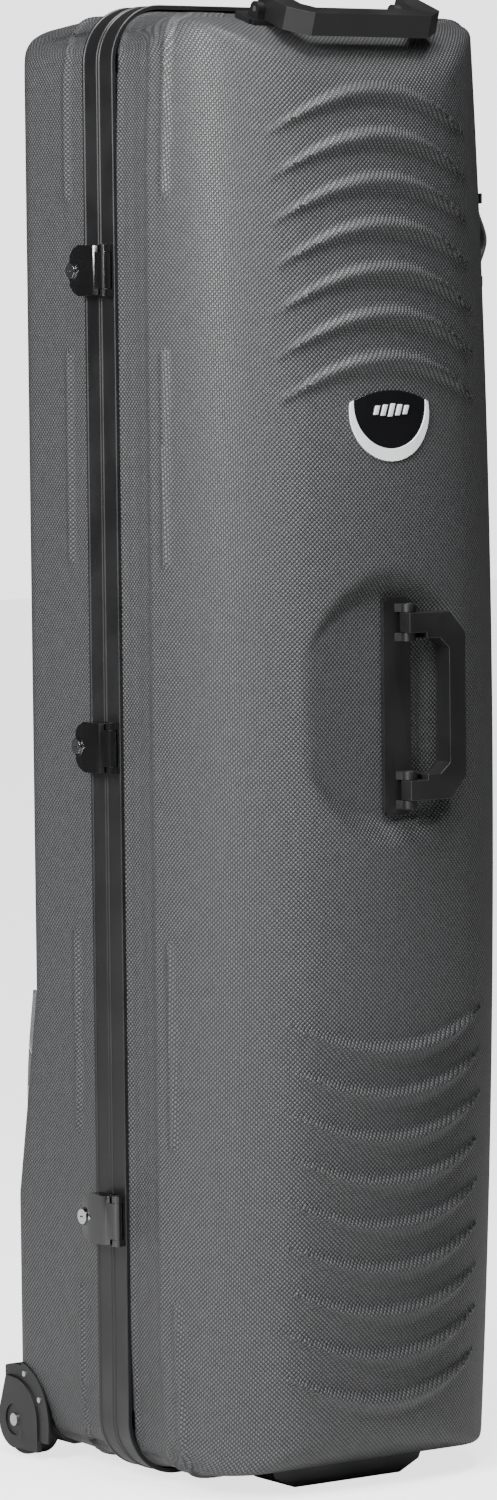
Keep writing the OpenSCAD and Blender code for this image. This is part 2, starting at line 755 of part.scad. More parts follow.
// Bail seen from outside: two arms and a grip with cut corners
module bail_plan() {
    y = bail_l / 2;
    x = pivot_x + bail_reach;
    cut = 16;
    gap = y - arm_w;
    difference() {
        polygon([[pivot_x, -y], [x - cut, -y], [x, -y + cut * 1.2], [x, y - cut * 1.2], [x - cut, y], [pivot_x, y]]);
        polygon([
            [-big, -gap], [x - grip_w - 10, -gap], [x - grip_w, -gap + 9],
            [x - grip_w, gap - 9], [x - grip_w - 10, gap], [-big, gap]
        ]);
    }
}

module handle_bail() {
    z0 = plate_t + bail_gap;
    kr = pivot_z - z0;
    difference() {
        union() {
            translate([0, 0, z0]) linear_extrude(bail_t) bail_plan();
            for (s = [-1, 1]) along(s > 0 ? knuckle_in : -bail_l / 2, s > 0 ? bail_l / 2 : -knuckle_in) {
                translate([pivot_x, pivot_z]) circle(kr);
                translate([pivot_x - kr, pivot_z]) square([kr, bail_t - kr]);
            }
        }
        // Room for the inner lugs beside each knuckle
        for (s = [-1, 1]) translate([pivot_x - 20, s > 0 ? knuckle_in - arm_w : -knuckle_in, -1])
            cube([20 + 10.5, arm_w, big]);
        along(-plate_l, plate_l) translate([pivot_x, pivot_z]) circle(bore_r + run_clear);
        // Slanted inner side of the grip
        translate([pivot_x + bail_reach - grip_w, 0, z0 + bail_t]) rotate([0, 35, 0])
            translate([-20, -bail_l / 2 + arm_w + 12, -6]) cube([20, bail_l - 2 * arm_w - 24, 30]);
    }
}

module handle_pins() {
    outer = bail_l / 2 + 0.4 + lug_t;
    inner = knuckle_in - 0.4 - lug_t;
    for (s = [-1, 1]) along(s > 0 ? inner : -outer, s > 0 ? outer : -inner)
        translate([pivot_x, pivot_z]) circle(bore_r);
}

module handle_screws(depth) {
    screw_places() {
        translate([0, 0, -depth]) cylinder(h = depth + plate_t - 1.6, r = screw_r);
        translate([0, 0, -depth - 2]) cylinder(h = 2, r = 4);
    }
}

backing_t = 2.5;
module front_handle_base() { color("black") front_handle_frame() handle_base(); }
module front_handle_bail() { color("black") front_handle_frame() handle_bail(); }
module front_handle_pins() { color("silver") front_handle_frame() handle_pins(); }
module front_handle_screws() { color("silver") front_handle_frame() handle_screws(shell_t + backing_t); }
module front_handle_backing() {
    color("gray") front_handle_frame() difference() {
        translate([-plate_w / 2, -plate_l / 2, -shell_t - backing_t]) cube([plate_w, plate_l, backing_t]);
        screw_places() translate([0, 0, -20]) cylinder(h = 40, r = screw_r + 0.1);
    }
}

module brow_round(r) {
    across(-half_w, half_w) translate([brow_f, brow_z]) circle(r, $fn = 240);
}

module top_handle_base() {
    color("black") difference() {
        top_handle_frame() handle_base();
        brow_round(brow_r + 0.02);
    }
}
module top_handle_bail() { color("black") top_handle_frame() handle_bail(); }
module top_handle_pins() { color("silver") top_handle_frame() handle_pins(); }
top_grip = shell_t + backing_t + 1.5;
module top_handle_screws() { color("silver") top_handle_frame() handle_screws(top_grip); }
module top_handle_backing() {
    color("gray") difference() {
        intersection() {
            top_handle_frame() translate([-plate_w / 2, -plate_l / 2, -top_grip]) cube([plate_w, plate_l, top_grip]);
            brow_round(brow_r - shell_t - fit_gap / 2);
        }
        top_handle_frame() screw_places() translate([0, 0, -20]) cylinder(h = 40, r = screw_r + 0.1);
    }
}

// ---- Badge -------------------------------------------------------------------

badge_r = badge_w / 2;
badge_bed = 2;
module shield() {
    intersection() {
        circle(badge_r);
        translate([0, -badge_w * 0.84]) circle(badge_w * 1.065);
    }
}

// Lays an X-Z badge outline on the crown, up to a height above it
module on_crown(proud) {
    difference() {
        intersection() {
            translate([0, 0, badge_z]) forward(lid_depth - 60, lid_depth + 10) children();
            crown(-proud, badge_z - badge_r, badge_z + badge_r);
        }
        crown(0, badge_z - badge_r, badge_z + badge_r);
    }
}

module badge_plate() {
    color("black") on_crown(badge_bed * 0.6) intersection() {
        shield();
        translate([0, badge_r * 0.16]) circle(badge_r * 0.9);
    }
}

module badge_ring() {
    color("white") on_crown(badge_bed) difference() {
        shield();
        translate([0, badge_r * 0.16]) circle(badge_r * 0.9 + 0.05);
    }
}

// ---- Foot ----------------------------------------------------------------------

foot_f = 53;
foot_h = shell_z0 + tan(bottom_rise) * (foot_f + foot_w - rail_w) + 4;
module foot_screw_places() {
    for (s = [-1, 1]) translate([s * foot_l * 0.25, parting_y - foot_f - foot_w / 2, 0]) children();
}

module front_foot() {
    end = 26;
    color("black") difference() {
        forward(foot_f, foot_f + foot_w) polygon([
            [-foot_l / 2, foot_h], [-foot_l / 2 + end * 0.2, foot_h * 0.45], [-foot_l / 2 + end, 0],
            [foot_l / 2 - end, 0], [foot_l / 2 - end * 0.2, foot_h * 0.45], [foot_l / 2, foot_h]
        ]);
        across(-half_w, half_w) polygon([
            [rail_w, shell_z0 - 0.02], [300, shell_z0 - 0.02 + (300 - rail_w) * tan(bottom_rise)], [rail_w, 200]
        ]);
        foot_screw_places() {
            translate([0, 0, -1]) cylinder(h = 7, r = 5);
            cylinder(h = 60, r = screw_r + 0.1);
        }
    }
}

module foot_screws() {
    top = shell_z0 + tan(bottom_rise) * (foot_f + foot_w / 2 - rail_w) + shell_t + 8;
    color("silver") foot_screw_places() {
        translate([0, 0, 3.4]) cylinder(h = 2.6, r = 4);
        translate([0, 0, 4]) cylinder(h = top - 4, r = screw_r);
        translate([0, 0, top - 5]) cylinder(h = 3, r = 4);
    }
}

// ---- Side pull strap --------------------------------------------------------------

strap_a = 19;
strap_z = frame_z1 - 202;
strap_t = 2;
module strap_frame() {
    translate([flank_x + flank_r * cos(strap_a), parting_y - lid_depth + crown_r - flank_h
        + dome_fall(strap_z) - flank_r * sin(strap_a), strap_z])
        rotate([0, 0, -strap_a]) children();
}

// Bowed webbing, drawn as (outwards, up): an arc of the stated bow with two flat tails
module side_strap() {
    span = strap_l - 24;
    r = (span * span / 4 + strap_bow * strap_bow) / (2 * strap_bow);
    color("black") strap_frame() rotate([90, 0, 0]) translate([0.4, 0, -strap_w / 2]) linear_extrude(strap_w) {
        intersection() {
            difference() {
                translate([strap_bow + strap_t - r, 0]) circle(r, $fn = 96);
                translate([strap_bow + strap_t - r, 0]) circle(r - strap_t, $fn = 96);
            }
            translate([0, -strap_l / 2]) square([50, strap_l]);
        }
        for (s = [-1, 1]) translate([0, s * (strap_l / 2 - 7) - 7]) square([strap_t, 14]);
    }
}

module strap_clamps() {
    color("black") strap_frame() for (s = [-1, 1]) translate([0.4 + strap_t, 0, s * (strap_l / 2 - 5)]) {
        translate([0.05, -strap_w / 2 - 1, -4.5]) cube([1.6, strap_w + 2, 9]);
        translate([1, 0, 0]) rotate([0, 90, 0]) cylinder(h = 1.8, r = 2.4);
    }
}

// ---- Drawing ------------------------------------------------------------------------

rear_shell();
rear_rail();
frame_seal();
rear_lining();
wheel_housing_left();
wheel_housing_right();
wheel_axle_left();
wheel_axle_right();
wheel_hub_left();
wheel_hub_right();
wheel_tyre_left();
wheel_tyre_right();
housing_rivets();
hinge_leaves_rear();
hinge_pins();
hinge_rivets_rear();
latch_keepers();
keeper_rivets();
tie_straps();
tie_buckles();
tie_anchors();
lid_shell();
lid_rail();
lid_lining();
hinge_leaves_lid();
hinge_rivets_lid();
front_handle_base();
front_handle_bail();
front_handle_pins();
front_handle_backing();
front_handle_screws();
top_handle_base();
top_handle_bail();
top_handle_pins();
top_handle_backing();
top_handle_screws();
badge_plate();
badge_ring();
front_foot();
foot_screws();
side_strap();
strap_clamps();
latch_plates();
latch_pins();
latch_rivets();
latch_lever_upper();
latch_lever_middle();
latch_lever_lower();
lock_cylinder_upper();
lock_cylinder_middle();
lock_cylinder_lower();
lock_marker_upper();
lock_marker_middle();
lock_marker_lower();
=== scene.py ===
"""Dresses the frame of a tall wheeled hard case: shells, rails, latches, handles, wheels and linings."""

import json
import math

import bmesh
import bpy
import numpy as np
from bpy.props import FloatProperty, FloatVectorProperty, IntProperty, PointerProperty
from bpy.types import Operator, Panel, PropertyGroup
from mathutils import Matrix, Vector


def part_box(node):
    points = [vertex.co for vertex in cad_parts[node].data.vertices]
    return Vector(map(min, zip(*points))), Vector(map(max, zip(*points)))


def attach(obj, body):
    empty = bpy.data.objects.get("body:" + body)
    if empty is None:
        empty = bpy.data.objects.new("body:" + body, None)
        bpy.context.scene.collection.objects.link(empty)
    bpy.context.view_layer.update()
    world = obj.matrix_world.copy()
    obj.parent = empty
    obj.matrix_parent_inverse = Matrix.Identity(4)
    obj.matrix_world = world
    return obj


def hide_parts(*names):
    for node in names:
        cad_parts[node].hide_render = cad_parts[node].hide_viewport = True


bl_info = {
    "name": "Wheeled Hard Case",
    "version": (1, 0, 0),
    "blender": (4, 5, 0),
    "location": "3D View > Sidebar > Hard Case",
    "description": "Builds the finished look of a tall wheeled hard case around its frame",
    "category": "Object",
}

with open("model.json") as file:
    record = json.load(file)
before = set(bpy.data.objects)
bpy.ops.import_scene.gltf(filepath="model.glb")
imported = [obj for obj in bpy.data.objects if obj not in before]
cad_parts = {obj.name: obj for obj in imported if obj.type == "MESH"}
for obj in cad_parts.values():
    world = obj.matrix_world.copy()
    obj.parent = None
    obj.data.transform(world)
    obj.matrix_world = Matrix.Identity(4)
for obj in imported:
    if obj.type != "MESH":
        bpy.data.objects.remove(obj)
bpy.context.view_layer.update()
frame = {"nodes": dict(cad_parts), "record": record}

# Lengths in this file are millimetres until a mesh is placed, and MM turns them into metres.
MM = 0.001
RAIL_LOW, RAIL_HIGH = (np.array(corner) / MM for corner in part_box("rear_rail"))
PARTING = RAIL_LOW[1]
FRAME_HALF = RAIL_HIGH[0]
FRAME_LOW = RAIL_LOW[2]
FRAME_HIGH = RAIL_HIGH[2]
RAIL_WIDTH = RAIL_HIGH[1] - PARTING
MID = (FRAME_LOW + FRAME_HIGH) / 2
FRAME_RADIUS = 50.0
PROUD = 4.0
SHELL_HALF = FRAME_HALF - PROUD
SHELL_LOW = FRAME_LOW + PROUD
SHELL_HIGH = FRAME_HIGH - PROUD
SHELL_EDGE = 11.5

# Front shell: crown and flank arcs in plan, dome, brow and chin arcs in profile.
LID_DEPTH = 194.5
CROWN_R = 311.0
FLANK_R = 120.0
FLANK_INSET = 0.3
WALL_DRAFT = 0.02
DOME_R = 7700.0
BROW_R = 95.0
CHIN_R = 50.0
TOP_FALL = math.radians(8)
BOTTOM_RISE = math.radians(5)
EDGE_OVERRUN = 1.5
FLANK_X = SHELL_HALF - FLANK_R - FLANK_INSET
FLANK_RISE = math.sqrt((CROWN_R - FLANK_R) ** 2 - FLANK_X ** 2)
FLANK_F = LID_DEPTH - CROWN_R + FLANK_RISE
FLANK_END = math.atan2(FLANK_RISE, FLANK_X)

# Rear shell, with the bulge that makes room for the wheels.
REAR_DEPTH = 142.0
REAR_WIDER = 0.2
BULGE = 32.0
BULGE_START = 417.0
BULGE_FULL = 235.0
BACK_R = 30.0
CREST_R = 45.0
HEEL_R = 40.0

# Rounding of creases: its least width, what the corners add to it, and the heights from the
# middle between which the corners' share comes in.
CREASE = 0.5
LID_CORNERS = (14.0, 490.0, 600.0)
REAR_CORNERS = (10.0, 560.0, 610.0)
LID_EDGE_BLEND = 8.0
REAR_EDGE_BLEND = 6.0

# Dish behind the front handle, and the notches that take the wheel housings.
DISH_Z = MID + 36.0
DISH_DROP = 12.0
DISH_FLOOR_R = 96.0
DISH_RIM_R = 118.0
DISH_SCALE = 0.9
DISH_BLEND = 2.5
AXLE_Y = PARTING + 162.0
AXLE_Z = 32.0
NOTCH_R = 50.0
NOTCH_X = SHELL_HALF - 42.0

# Pressed crescents: heights of their tips, half width, and how far their two edges rise.
UPPER_TIPS = [1161 - 37.7 * i for i in range(7)]
LOWER_TIPS = [416 - 37.9 * i for i in range(9)]
CRESCENT_HALF = 106.0
CRESCENT_FAR = 47.0
CRESCENT_NEAR = 24.5

# Pressed ribs on the side walls: heights they span, and distances of their lines from the parting plane.
RIB_SPANS = [(-60.0, 165.0), (303.0, 476.0), (802.0, 980.0), (1115.0, 1330.0)]
RIB_TOP = 1.5
RIB_FOOT = 5.0
LID_RIB_LINE = 88.0
REAR_RIB_LINE = 55.0
REAR_RIB_SHARE = 0.8
CORNER_WRAP = 46.0

# Shallow step, bead and valley beside the frame on the front shell, as heights at depths.
STEP_HEIGHT = -1.5
BEAD_HEIGHT, BEAD_LINE = 0.9, 70.0
VALLEY_HEIGHT, VALLEY_LINE = -0.5, 46.0

# Shallow upright grooves in the back.
GROOVE_LINES = (-78.0, -26.0, 26.0, 78.0)
GROOVE_LOW, GROOVE_HIGH = 470.0, 1150.0
GROOVE_DEPTH = 1.8

# Badge mark: slanted bars, the tallest in the middle.
BARS = 5
BAR_PITCH = 7.6
BAR_SIZE = (4.6, 1.2, 11.0)
BAR_SHORTER = 1.7
BAR_LEAN = 0.3
BAR_PROUD = 1.3
MARK_ABOVE = 8.0

# Webbing: the pull strap bows out from the flank, the tie straps lie across the back.
STRAP_TURN = math.radians(19)
STRAP_HEIGHT = 1075.0
STRAP_HALF = 41.0
STRAP_BOW = 8.0
STRAP_WIDTH = 22.0
STRAP_THICK = 1.9
STRAP_GAP = 0.5
TIE_WIDTH = 38.0
TIE_THICK = 1.5
TIE_GAP = 0.6
TIE_WAVE = 0.5
TIE_WAVES = 0.11

# The linings are drawn in a little so that they stay inside the smooth shells.
LINING_SHARES = (0.975, 1, 0.994, 1)
PLACES = ("upper", "middle", "lower")


# ---- Outlines of the case, as fields that are negative inside -------------------------


def smooth_step(low, high, value):
    """0 below low, 1 above high and a smooth rise between."""
    t = np.clip((value - low) / (high - low), 0.0, 1.0)
    return t * t * (3 - 2 * t)


def soft_max(a, b, blend):
    """The larger of two fields, with the crease between them rounded over a width."""
    share = np.clip(0.5 + 0.5 * (a - b) / blend, 0.0, 1.0)
    return b + (a - b) * share + blend * share * (1 - share)


def round_corner(across, along, radius):
    """Distance outside a round corner, by the offsets past its centre."""
    outside = np.hypot(np.maximum(across, 0), np.maximum(along, 0))
    return outside + np.minimum(np.maximum(across, along), 0) - radius


def outline_field(x, z):
    """Distance outside the shells' round-cornered outline."""
    radius = FRAME_RADIUS - PROUD
    across = np.abs(x) - (SHELL_HALF - radius)
    along = np.abs(z - MID) - ((SHELL_HIGH - SHELL_LOW) / 2 - radius)
    return round_corner(across, along, radius)


def edge_field(depth, z, level, slope, centre_depth, radius):
    """Distance above a falling face that turns down through a round edge."""
    centre_z = level - math.tan(slope) * (centre_depth - RAIL_WIDTH) - radius / math.cos(slope)
    plane = (z - level + math.tan(slope) * (depth - RAIL_WIDTH)) * math.cos(slope)
    ahead, above = depth - centre_depth, z - centre_z
    turn = np.arctan2(above, ahead)
    round_part = np.hypot(ahead, above) - radius
    below = (ahead - radius + above) * math.sqrt(0.5)
    turned = np.where((turn > 0) & (ahead > 0), round_part, np.where(ahead > 0, below, plane))
    return np.where(turn > math.pi / 2 - slope, plane, turned)


def dome_fall(z):
    """How far the front falls back from its crown at a height."""
    return DOME_R - np.sqrt(DOME_R ** 2 - (z - MID) ** 2)


BROW_F = LID_DEPTH - float(dome_fall(SHELL_HIGH - BROW_R)) - BROW_R + EDGE_OVERRUN
CHIN_F = LID_DEPTH - float(dome_fall(SHELL_LOW + CHIN_R)) - CHIN_R + EDGE_OVERRUN


def corner_blend(z, corners):
    """Width over which the side walls are rounded into the outline at a height."""
    extra, start, full = corners
    return CREASE + extra * smooth_step(start, full, np.abs(z - MID))


def lid_field(x, f, z):
    """Distance outside the front shell; f is the distance in front of the parting plane."""
    side = np.abs(x)
    depth = f + dome_fall(z)
    ahead = depth - (LID_DEPTH - CROWN_R)
    crown = np.hypot(side, ahead) - CROWN_R
    flank = np.hypot(side - FLANK_X, depth - FLANK_F) - FLANK_R
    wall = side - FLANK_X - FLANK_R - WALL_DRAFT * (FLANK_F - depth)
    plan = np.where(np.arctan2(ahead, side) > FLANK_END, crown, np.where(depth > FLANK_F, flank, wall))
    sides = soft_max(outline_field(x, z), plan, corner_blend(z, LID_CORNERS))
    top = edge_field(f, z, SHELL_HIGH, TOP_FALL, BROW_F, BROW_R)
    bottom = edge_field(f, 2 * MID - z, 2 * MID - SHELL_LOW, BOTTOM_RISE, CHIN_F, CHIN_R)
    body = soft_max(soft_max(sides, top, LID_EDGE_BLEND), bottom, LID_EDGE_BLEND)
    slope = np.maximum(np.hypot(x, z - DISH_Z) - DISH_FLOOR_R, 0) / (DISH_RIM_R - DISH_FLOOR_R)
    dish = LID_DEPTH - DISH_DROP + slope * DISH_DROP
    return soft_max(body, (f - dish) * DISH_SCALE, DISH_BLEND)


def rear_depth(z):
    """Depth of the rear shell at a height, deeper over the wheels."""
    return REAR_DEPTH + BULGE * np.clip((BULGE_START - z) / (BULGE_START - BULGE_FULL), 0, 1)


def rear_field(x, g, z):
    """Distance outside the rear shell; g is the distance behind the parting plane."""
    depth = rear_depth(z)
    across, along = np.abs(x) - (SHELL_HALF + REAR_WIDER - BACK_R), g - (depth - BACK_R)
    plan = round_corner(across, along, BACK_R)
    sides = soft_max(outline_field(x, z), plan, corner_blend(z, REAR_CORNERS))
    crest_g, heel_g = REAR_DEPTH - CREST_R + EDGE_OVERRUN, REAR_DEPTH + BULGE - HEEL_R + EDGE_OVERRUN
    top = edge_field(g, z, SHELL_HIGH, TOP_FALL, crest_g, CREST_R)
    bottom = edge_field(g, 2 * MID - z, 2 * MID - SHELL_LOW, BOTTOM_RISE, heel_g, HEEL_R)
    body = soft_max(soft_max(sides, top, REAR_EDGE_BLEND), bottom, REAR_EDGE_BLEND)
    reach = np.hypot(g + PARTING - AXLE_Y, z - AXLE_Z)
    notch = np.minimum(NOTCH_R - reach, np.abs(x) - NOTCH_X)
    return np.maximum(body, notch)


# ---- Relief pressed into the shells ----------------------------------------------------


def crescent(x, z, tip_z, up, height):
    """A raised crescent with a short slope on its upper side and a long one below."""
    share = np.clip(1 - (x / CRESCENT_HALF) ** 2, 0, 1)
    far, near = CRESCENT_FAR * share, CRESCENT_NEAR * share
    rise = (z - tip_z) * (1 if up else -1)
    t = (far - rise) / np.maximum(far - near, 1e-3)
    if not up:
        t = 1 - t
    shape = smooth_step(0.0, 0.36, t) * (1 - smooth_step(0.40, 1.0, t))
    return height * shape * share ** 0.4


def rib(position, along, spans, height):
    """Height of narrow ribs with round ends: position is the offset from the ribs' line."""
    total = np.zeros_like(along)
    for low, high in spans:
        beyond = np.maximum(np.maximum(low - along, along - high), 0)
        total = np.maximum(total, height * (1 - smooth_step(RIB_TOP, RIB_FOOT, np.hypot(position, beyond))))
    return total


def wrap_height(x, z):
    """A height that goes on growing round the top corner and falling round the bottom one."""
    high, low = SHELL_HIGH - CORNER_WRAP, SHELL_LOW + CORNER_WRAP
    over = np.maximum(SHELL_HALF - np.abs(x), 0)
    top = high + np.where(z > high, np.maximum(z - high, 0) + over, 0)
    bottom = low - np.where(z < low, np.maximum(low - z, 0) + over, 0)
    return np.where(z > high, top, np.where(z < low, bottom, z))


def lid_relief(x, f, z, sizes):
    """Height of the front shell's pressed details above its plain surface."""
    front = smooth_step(110, 140, f)
    total = np.zeros_like(x)
    for tips, up in ((UPPER_TIPS, True), (LOWER_TIPS, False)):
        for tip in tips:
            total = np.maximum(total, crescent(x, z, tip, up, sizes.crescent_height))
    total = total * front
    total += rib(f - LID_RIB_LINE, wrap_height(x, z), RIB_SPANS, sizes.rib_height)
    step = STEP_HEIGHT * smooth_step(25, 29, f) * (1 - smooth_step(61, 70, f))
    bead = BEAD_HEIGHT * (1 - smooth_step(1.5, 5.5, np.abs(f - BEAD_LINE)))
    valley = VALLEY_HEIGHT * (1 - smooth_step(2.0, 7.0, np.abs(f - VALLEY_LINE)))
    return total + step + bead + valley


def rear_relief(x, g, z, sizes):
    """Height of the rear shell's pressed ribs and grooves above its plain surface."""
    total = rib(g - REAR_RIB_LINE, wrap_height(x, z), RIB_SPANS, sizes.rib_height * REAR_RIB_SHARE)
    back = smooth_step(120, 135, g)
    beyond = np.maximum(np.maximum(GROOVE_LOW - z, z - GROOVE_HIGH), 0)
    for line in GROOVE_LINES:
        groove = 1 - smooth_step(3, 9, np.hypot(x - line, beyond))
        total = total - GROOVE_DEPTH * groove * back
    return total


# ---- Mesh helpers -----------------------------------------------------------------------

# Block inside a shell that its points are thrown from, and how finely the throw is measured.
CORE_HALF = 60.0
CORE_DEPTH = 58.0
CORE_ABOVE = 120.0
CORE_BELOW = 130.0
REACH = 420.0
HALVINGS = 34
NUDGE = 0.8
CORNER_STEPS = 14
BAND_CELLS = 6
MERGE = 0.02
FLAT_ANGLE = math.radians(1.0)


def grid_mesh(name, columns, rows):
    """A grid from Blender's operator, and how far across and up it each of its points lies, from 0 to 1."""
    bm = bmesh.new()
    bmesh.ops.create_grid(bm, x_segments=columns, y_segments=rows, size=0.5)
    mesh = bpy.data.meshes.new(name)
    bm.to_mesh(mesh)
    bm.free()
    points = np.empty(len(mesh.vertices) * 3)
    mesh.vertices.foreach_get("co", points)
    points = points.reshape(-1, 3)
    return mesh, points[:, 0] + 0.5, points[:, 1] + 0.5


def place_points(mesh, points, uv=None):
    """Moves a mesh's points to places in millimetres, and stores a UV map in metres."""
    mesh.vertices.foreach_set("co", (np.asarray(points) * MM).ravel())
    if uv is not None:
        layer = mesh.uv_layers.new(name="surface")
        index = np.empty(len(mesh.loops), dtype=np.int32)
        mesh.loops.foreach_get("vertex_index", index)
        layer.data.foreach_set("uv", (np.asarray(uv)[index] * MM).ravel())
    mesh.update()


def tidy_normals(mesh, merge=0.0):
    """Turns a mesh's faces outwards, after merging points that lie together."""
    bm = bmesh.new()
    bm.from_mesh(mesh)
    if merge:
        bmesh.ops.remove_doubles(bm, verts=bm.verts, dist=merge * MM)
    bmesh.ops.recalc_face_normals(bm, faces=bm.faces)
    bm.to_mesh(mesh)
    bm.free()


def add_piece(name, mesh, body, material, replaces=(), sharp=38):
    """Links a finished mesh as a piece that rides on a body."""
    mesh.shade_smooth()
    mesh.set_sharp_from_angle(angle=math.radians(sharp))
    piece = bpy.data.objects.new(name, mesh)
    bpy.context.scene.collection.objects.link(piece)
    mesh.materials.clear()
    mesh.materials.append(material)
    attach(piece, body)
    if replaces:
        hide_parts(*replaces)
    return piece


def resample(points, share):
    """Points along a polyline at shares of its length."""
    points = np.asarray(points, dtype=float)
    steps = np.hypot(*np.diff(points, axis=0).T)
    run = np.concatenate([[0], np.cumsum(steps)])
    return np.interp(share * run[-1], run, points[:, 0]), np.interp(share * run[-1], run, points[:, 1])


def arc(cx, cy, radius, start, end, count=24):
    """Points along an arc, angles in radians."""
    turn = np.linspace(start, end, count)
    return [(cx + radius * math.cos(a), cy + radius * math.sin(a)) for a in turn]


def surface_uv(across, up, points):
    """Distances along the surface from the middle row and column of a grid's points."""
    order = np.lexsort((np.round(across, 6), np.round(up, 6)))
    columns = len(np.unique(np.round(across, 6)))
    net = points[order].reshape(-1, columns, 3)
    over = np.linalg.norm(np.diff(net, axis=1), axis=2)
    over = np.concatenate([np.zeros((len(net), 1)), np.cumsum(over, axis=1)], axis=1)
    over -= over[:, columns // 2][:, None]
    along = np.linalg.norm(np.diff(net, axis=0), axis=2)
    along = np.concatenate([np.zeros((1, columns)), np.cumsum(along, axis=0)], axis=0)
    along -= along[len(net) // 2][None, :]
    uv = np.empty((len(points), 2))
    uv[order, 0], uv[order, 1] = over.ravel(), along.ravel()
    return uv


def shell_points(across, up, plan, profile, depth, field, relief, sizes):
    """Throws points outwards from inside the shell on to its field, then adds the relief along the normal.

    plan and profile are rough outlines that share out the points; returns the points and their UVs.
    """
    x, fx = resample(plan, across)
    fz, z = resample(profile, up)
    edge = plan[0][1]
    f = edge + (fx - edge) * (fz - edge) / (depth - edge)
    core_z = np.clip(z, SHELL_LOW + CORE_ABOVE, SHELL_HIGH - CORE_BELOW)
    start = np.stack([np.clip(x, -CORE_HALF, CORE_HALF), np.minimum(f, CORE_DEPTH), core_z], axis=1)
    aim = np.stack([x, f, z], axis=1) - start
    aim /= np.linalg.norm(aim, axis=1, keepdims=True)
    near, far = np.zeros(len(x)), np.full(len(x), REACH)
    for _ in range(HALVINGS):
        middle = (near + far) / 2
        inside = field(*(start + aim * middle[:, None]).T) < 0
        near, far = np.where(inside, middle, near), np.where(inside, far, middle)
    points = start + aim * near[:, None]
    normal = np.empty_like(points)
    for axis in range(3):
        nudge = np.zeros(3)
        nudge[axis] = NUDGE
        normal[:, axis] = field(*(points + nudge).T) - field(*(points - nudge).T)
    normal /= np.maximum(np.linalg.norm(normal, axis=1, keepdims=True), 1e-6)
    uv = surface_uv(across, up, points)
    return points + normal * relief(*points.T, sizes)[:, None], uv


def shell_mesh(name, half_plan, profile, depth, side, field, relief):
    """The mesh of one shell: side is -1 in front of the parting plane and 1 behind it."""
    sizes = bpy.context.scene.case_sizes
    mesh, across, up = grid_mesh(name, sizes.shell_columns, sizes.shell_rows)
    plan = [(-x, reach) for x, reach in half_plan] + half_plan[::-1][1:]
    points, uv = shell_points(across, up, plan, profile, depth, field, relief, sizes)
    points[:, 1] = PARTING + side * points[:, 1]
    place_points(mesh, points, uv)
    tidy_normals(mesh)
    return mesh


def sweep_ring(name, section):
    """A closed section, given as (distance in front, distance outwards), swept round the frame's outline."""
    corners = []
    half, high, low = FRAME_HALF - FRAME_RADIUS, FRAME_HIGH - FRAME_RADIUS, FRAME_LOW + FRAME_RADIUS
    for cx, cz, start in ((half, high, 0), (-half, high, 90), (-half, low, 180), (half, low, 270)):
        for step in range(CORNER_STEPS + 1):
            corners.append((cx, cz, math.radians(start + step * 90 / CORNER_STEPS)))
    corners.append(corners[0])
    count = len(corners) - 1
    mesh, across, up = grid_mesh(name, count, len(section))
    path = np.array([corners[int(round(a * count))] for a in across])
    closed = list(section) + [section[0]]
    cut = np.array([closed[int(round(b * len(section)))] for b in up])
    cx, cz, turn = path.T
    reach = FRAME_RADIUS + cut[:, 1]
    points = np.stack([cx + reach * np.cos(turn), PARTING - cut[:, 0], cz + reach * np.sin(turn)], axis=1)
    place_points(mesh, points)
    tidy_normals(mesh, 0.01)
    return mesh


def band(name, path, across, thickness):
    """A webbing band: a centre line of points, a vector across it and a thickness, with UVs along it."""
    path = np.asarray(path, dtype=float)
    across = np.asarray(across, dtype=float)
    mesh, along, over = grid_mesh(name, len(path) - 1, BAND_CELLS)
    index = np.rint(along * (len(path) - 1)).astype(int)
    run = np.concatenate([[0], np.cumsum(np.linalg.norm(np.diff(path, axis=0), axis=1))])
    points = path[index] + across[None, :] * (over - 0.5)[:, None]
    place_points(mesh, points, np.stack([run[index], (over - 0.5) * np.linalg.norm(across)], axis=1))
    bm = bmesh.new()
    bm.from_mesh(mesh)
    bmesh.ops.solidify(bm, geom=bm.faces[:], thickness=thickness * MM)
    bmesh.ops.recalc_face_normals(bm, faces=bm.faces)
    bm.to_mesh(mesh)
    bm.free()
    return mesh


def copy_of(node):
    """A merged copy of a frame node's mesh, with its flat faces joined up."""
    source = frame["nodes"][node].data
    bm = bmesh.new()
    bm.from_mesh(source)
    bmesh.ops.remove_doubles(bm, verts=bm.verts, dist=MERGE * MM)
    bmesh.ops.dissolve_limit(bm, angle_limit=FLAT_ANGLE, verts=bm.verts, edges=bm.edges)
    bmesh.ops.recalc_face_normals(bm, faces=bm.faces)
    mesh = bpy.data.meshes.new("dressed_" + node)
    bm.to_mesh(mesh)
    bm.free()
    return mesh


def dress(node, body, material, width, segments=3, angle=32):
    """Stands a copy with rounded edges in for a frame node."""
    mesh = copy_of(node)
    piece = add_piece("dressed_" + node, mesh, body, material, [node], 30)
    round_edges = piece.modifiers.new("round_edges", "BEVEL")
    round_edges.width = width * MM
    round_edges.segments = segments
    round_edges.limit_method = "ANGLE"
    round_edges.angle_limit = math.radians(angle)
    round_edges.harden_normals = True
    round_edges.miter_outer = "MITER_ARC"
    return piece


# ---- Materials -----------------------------------------------------------------------------


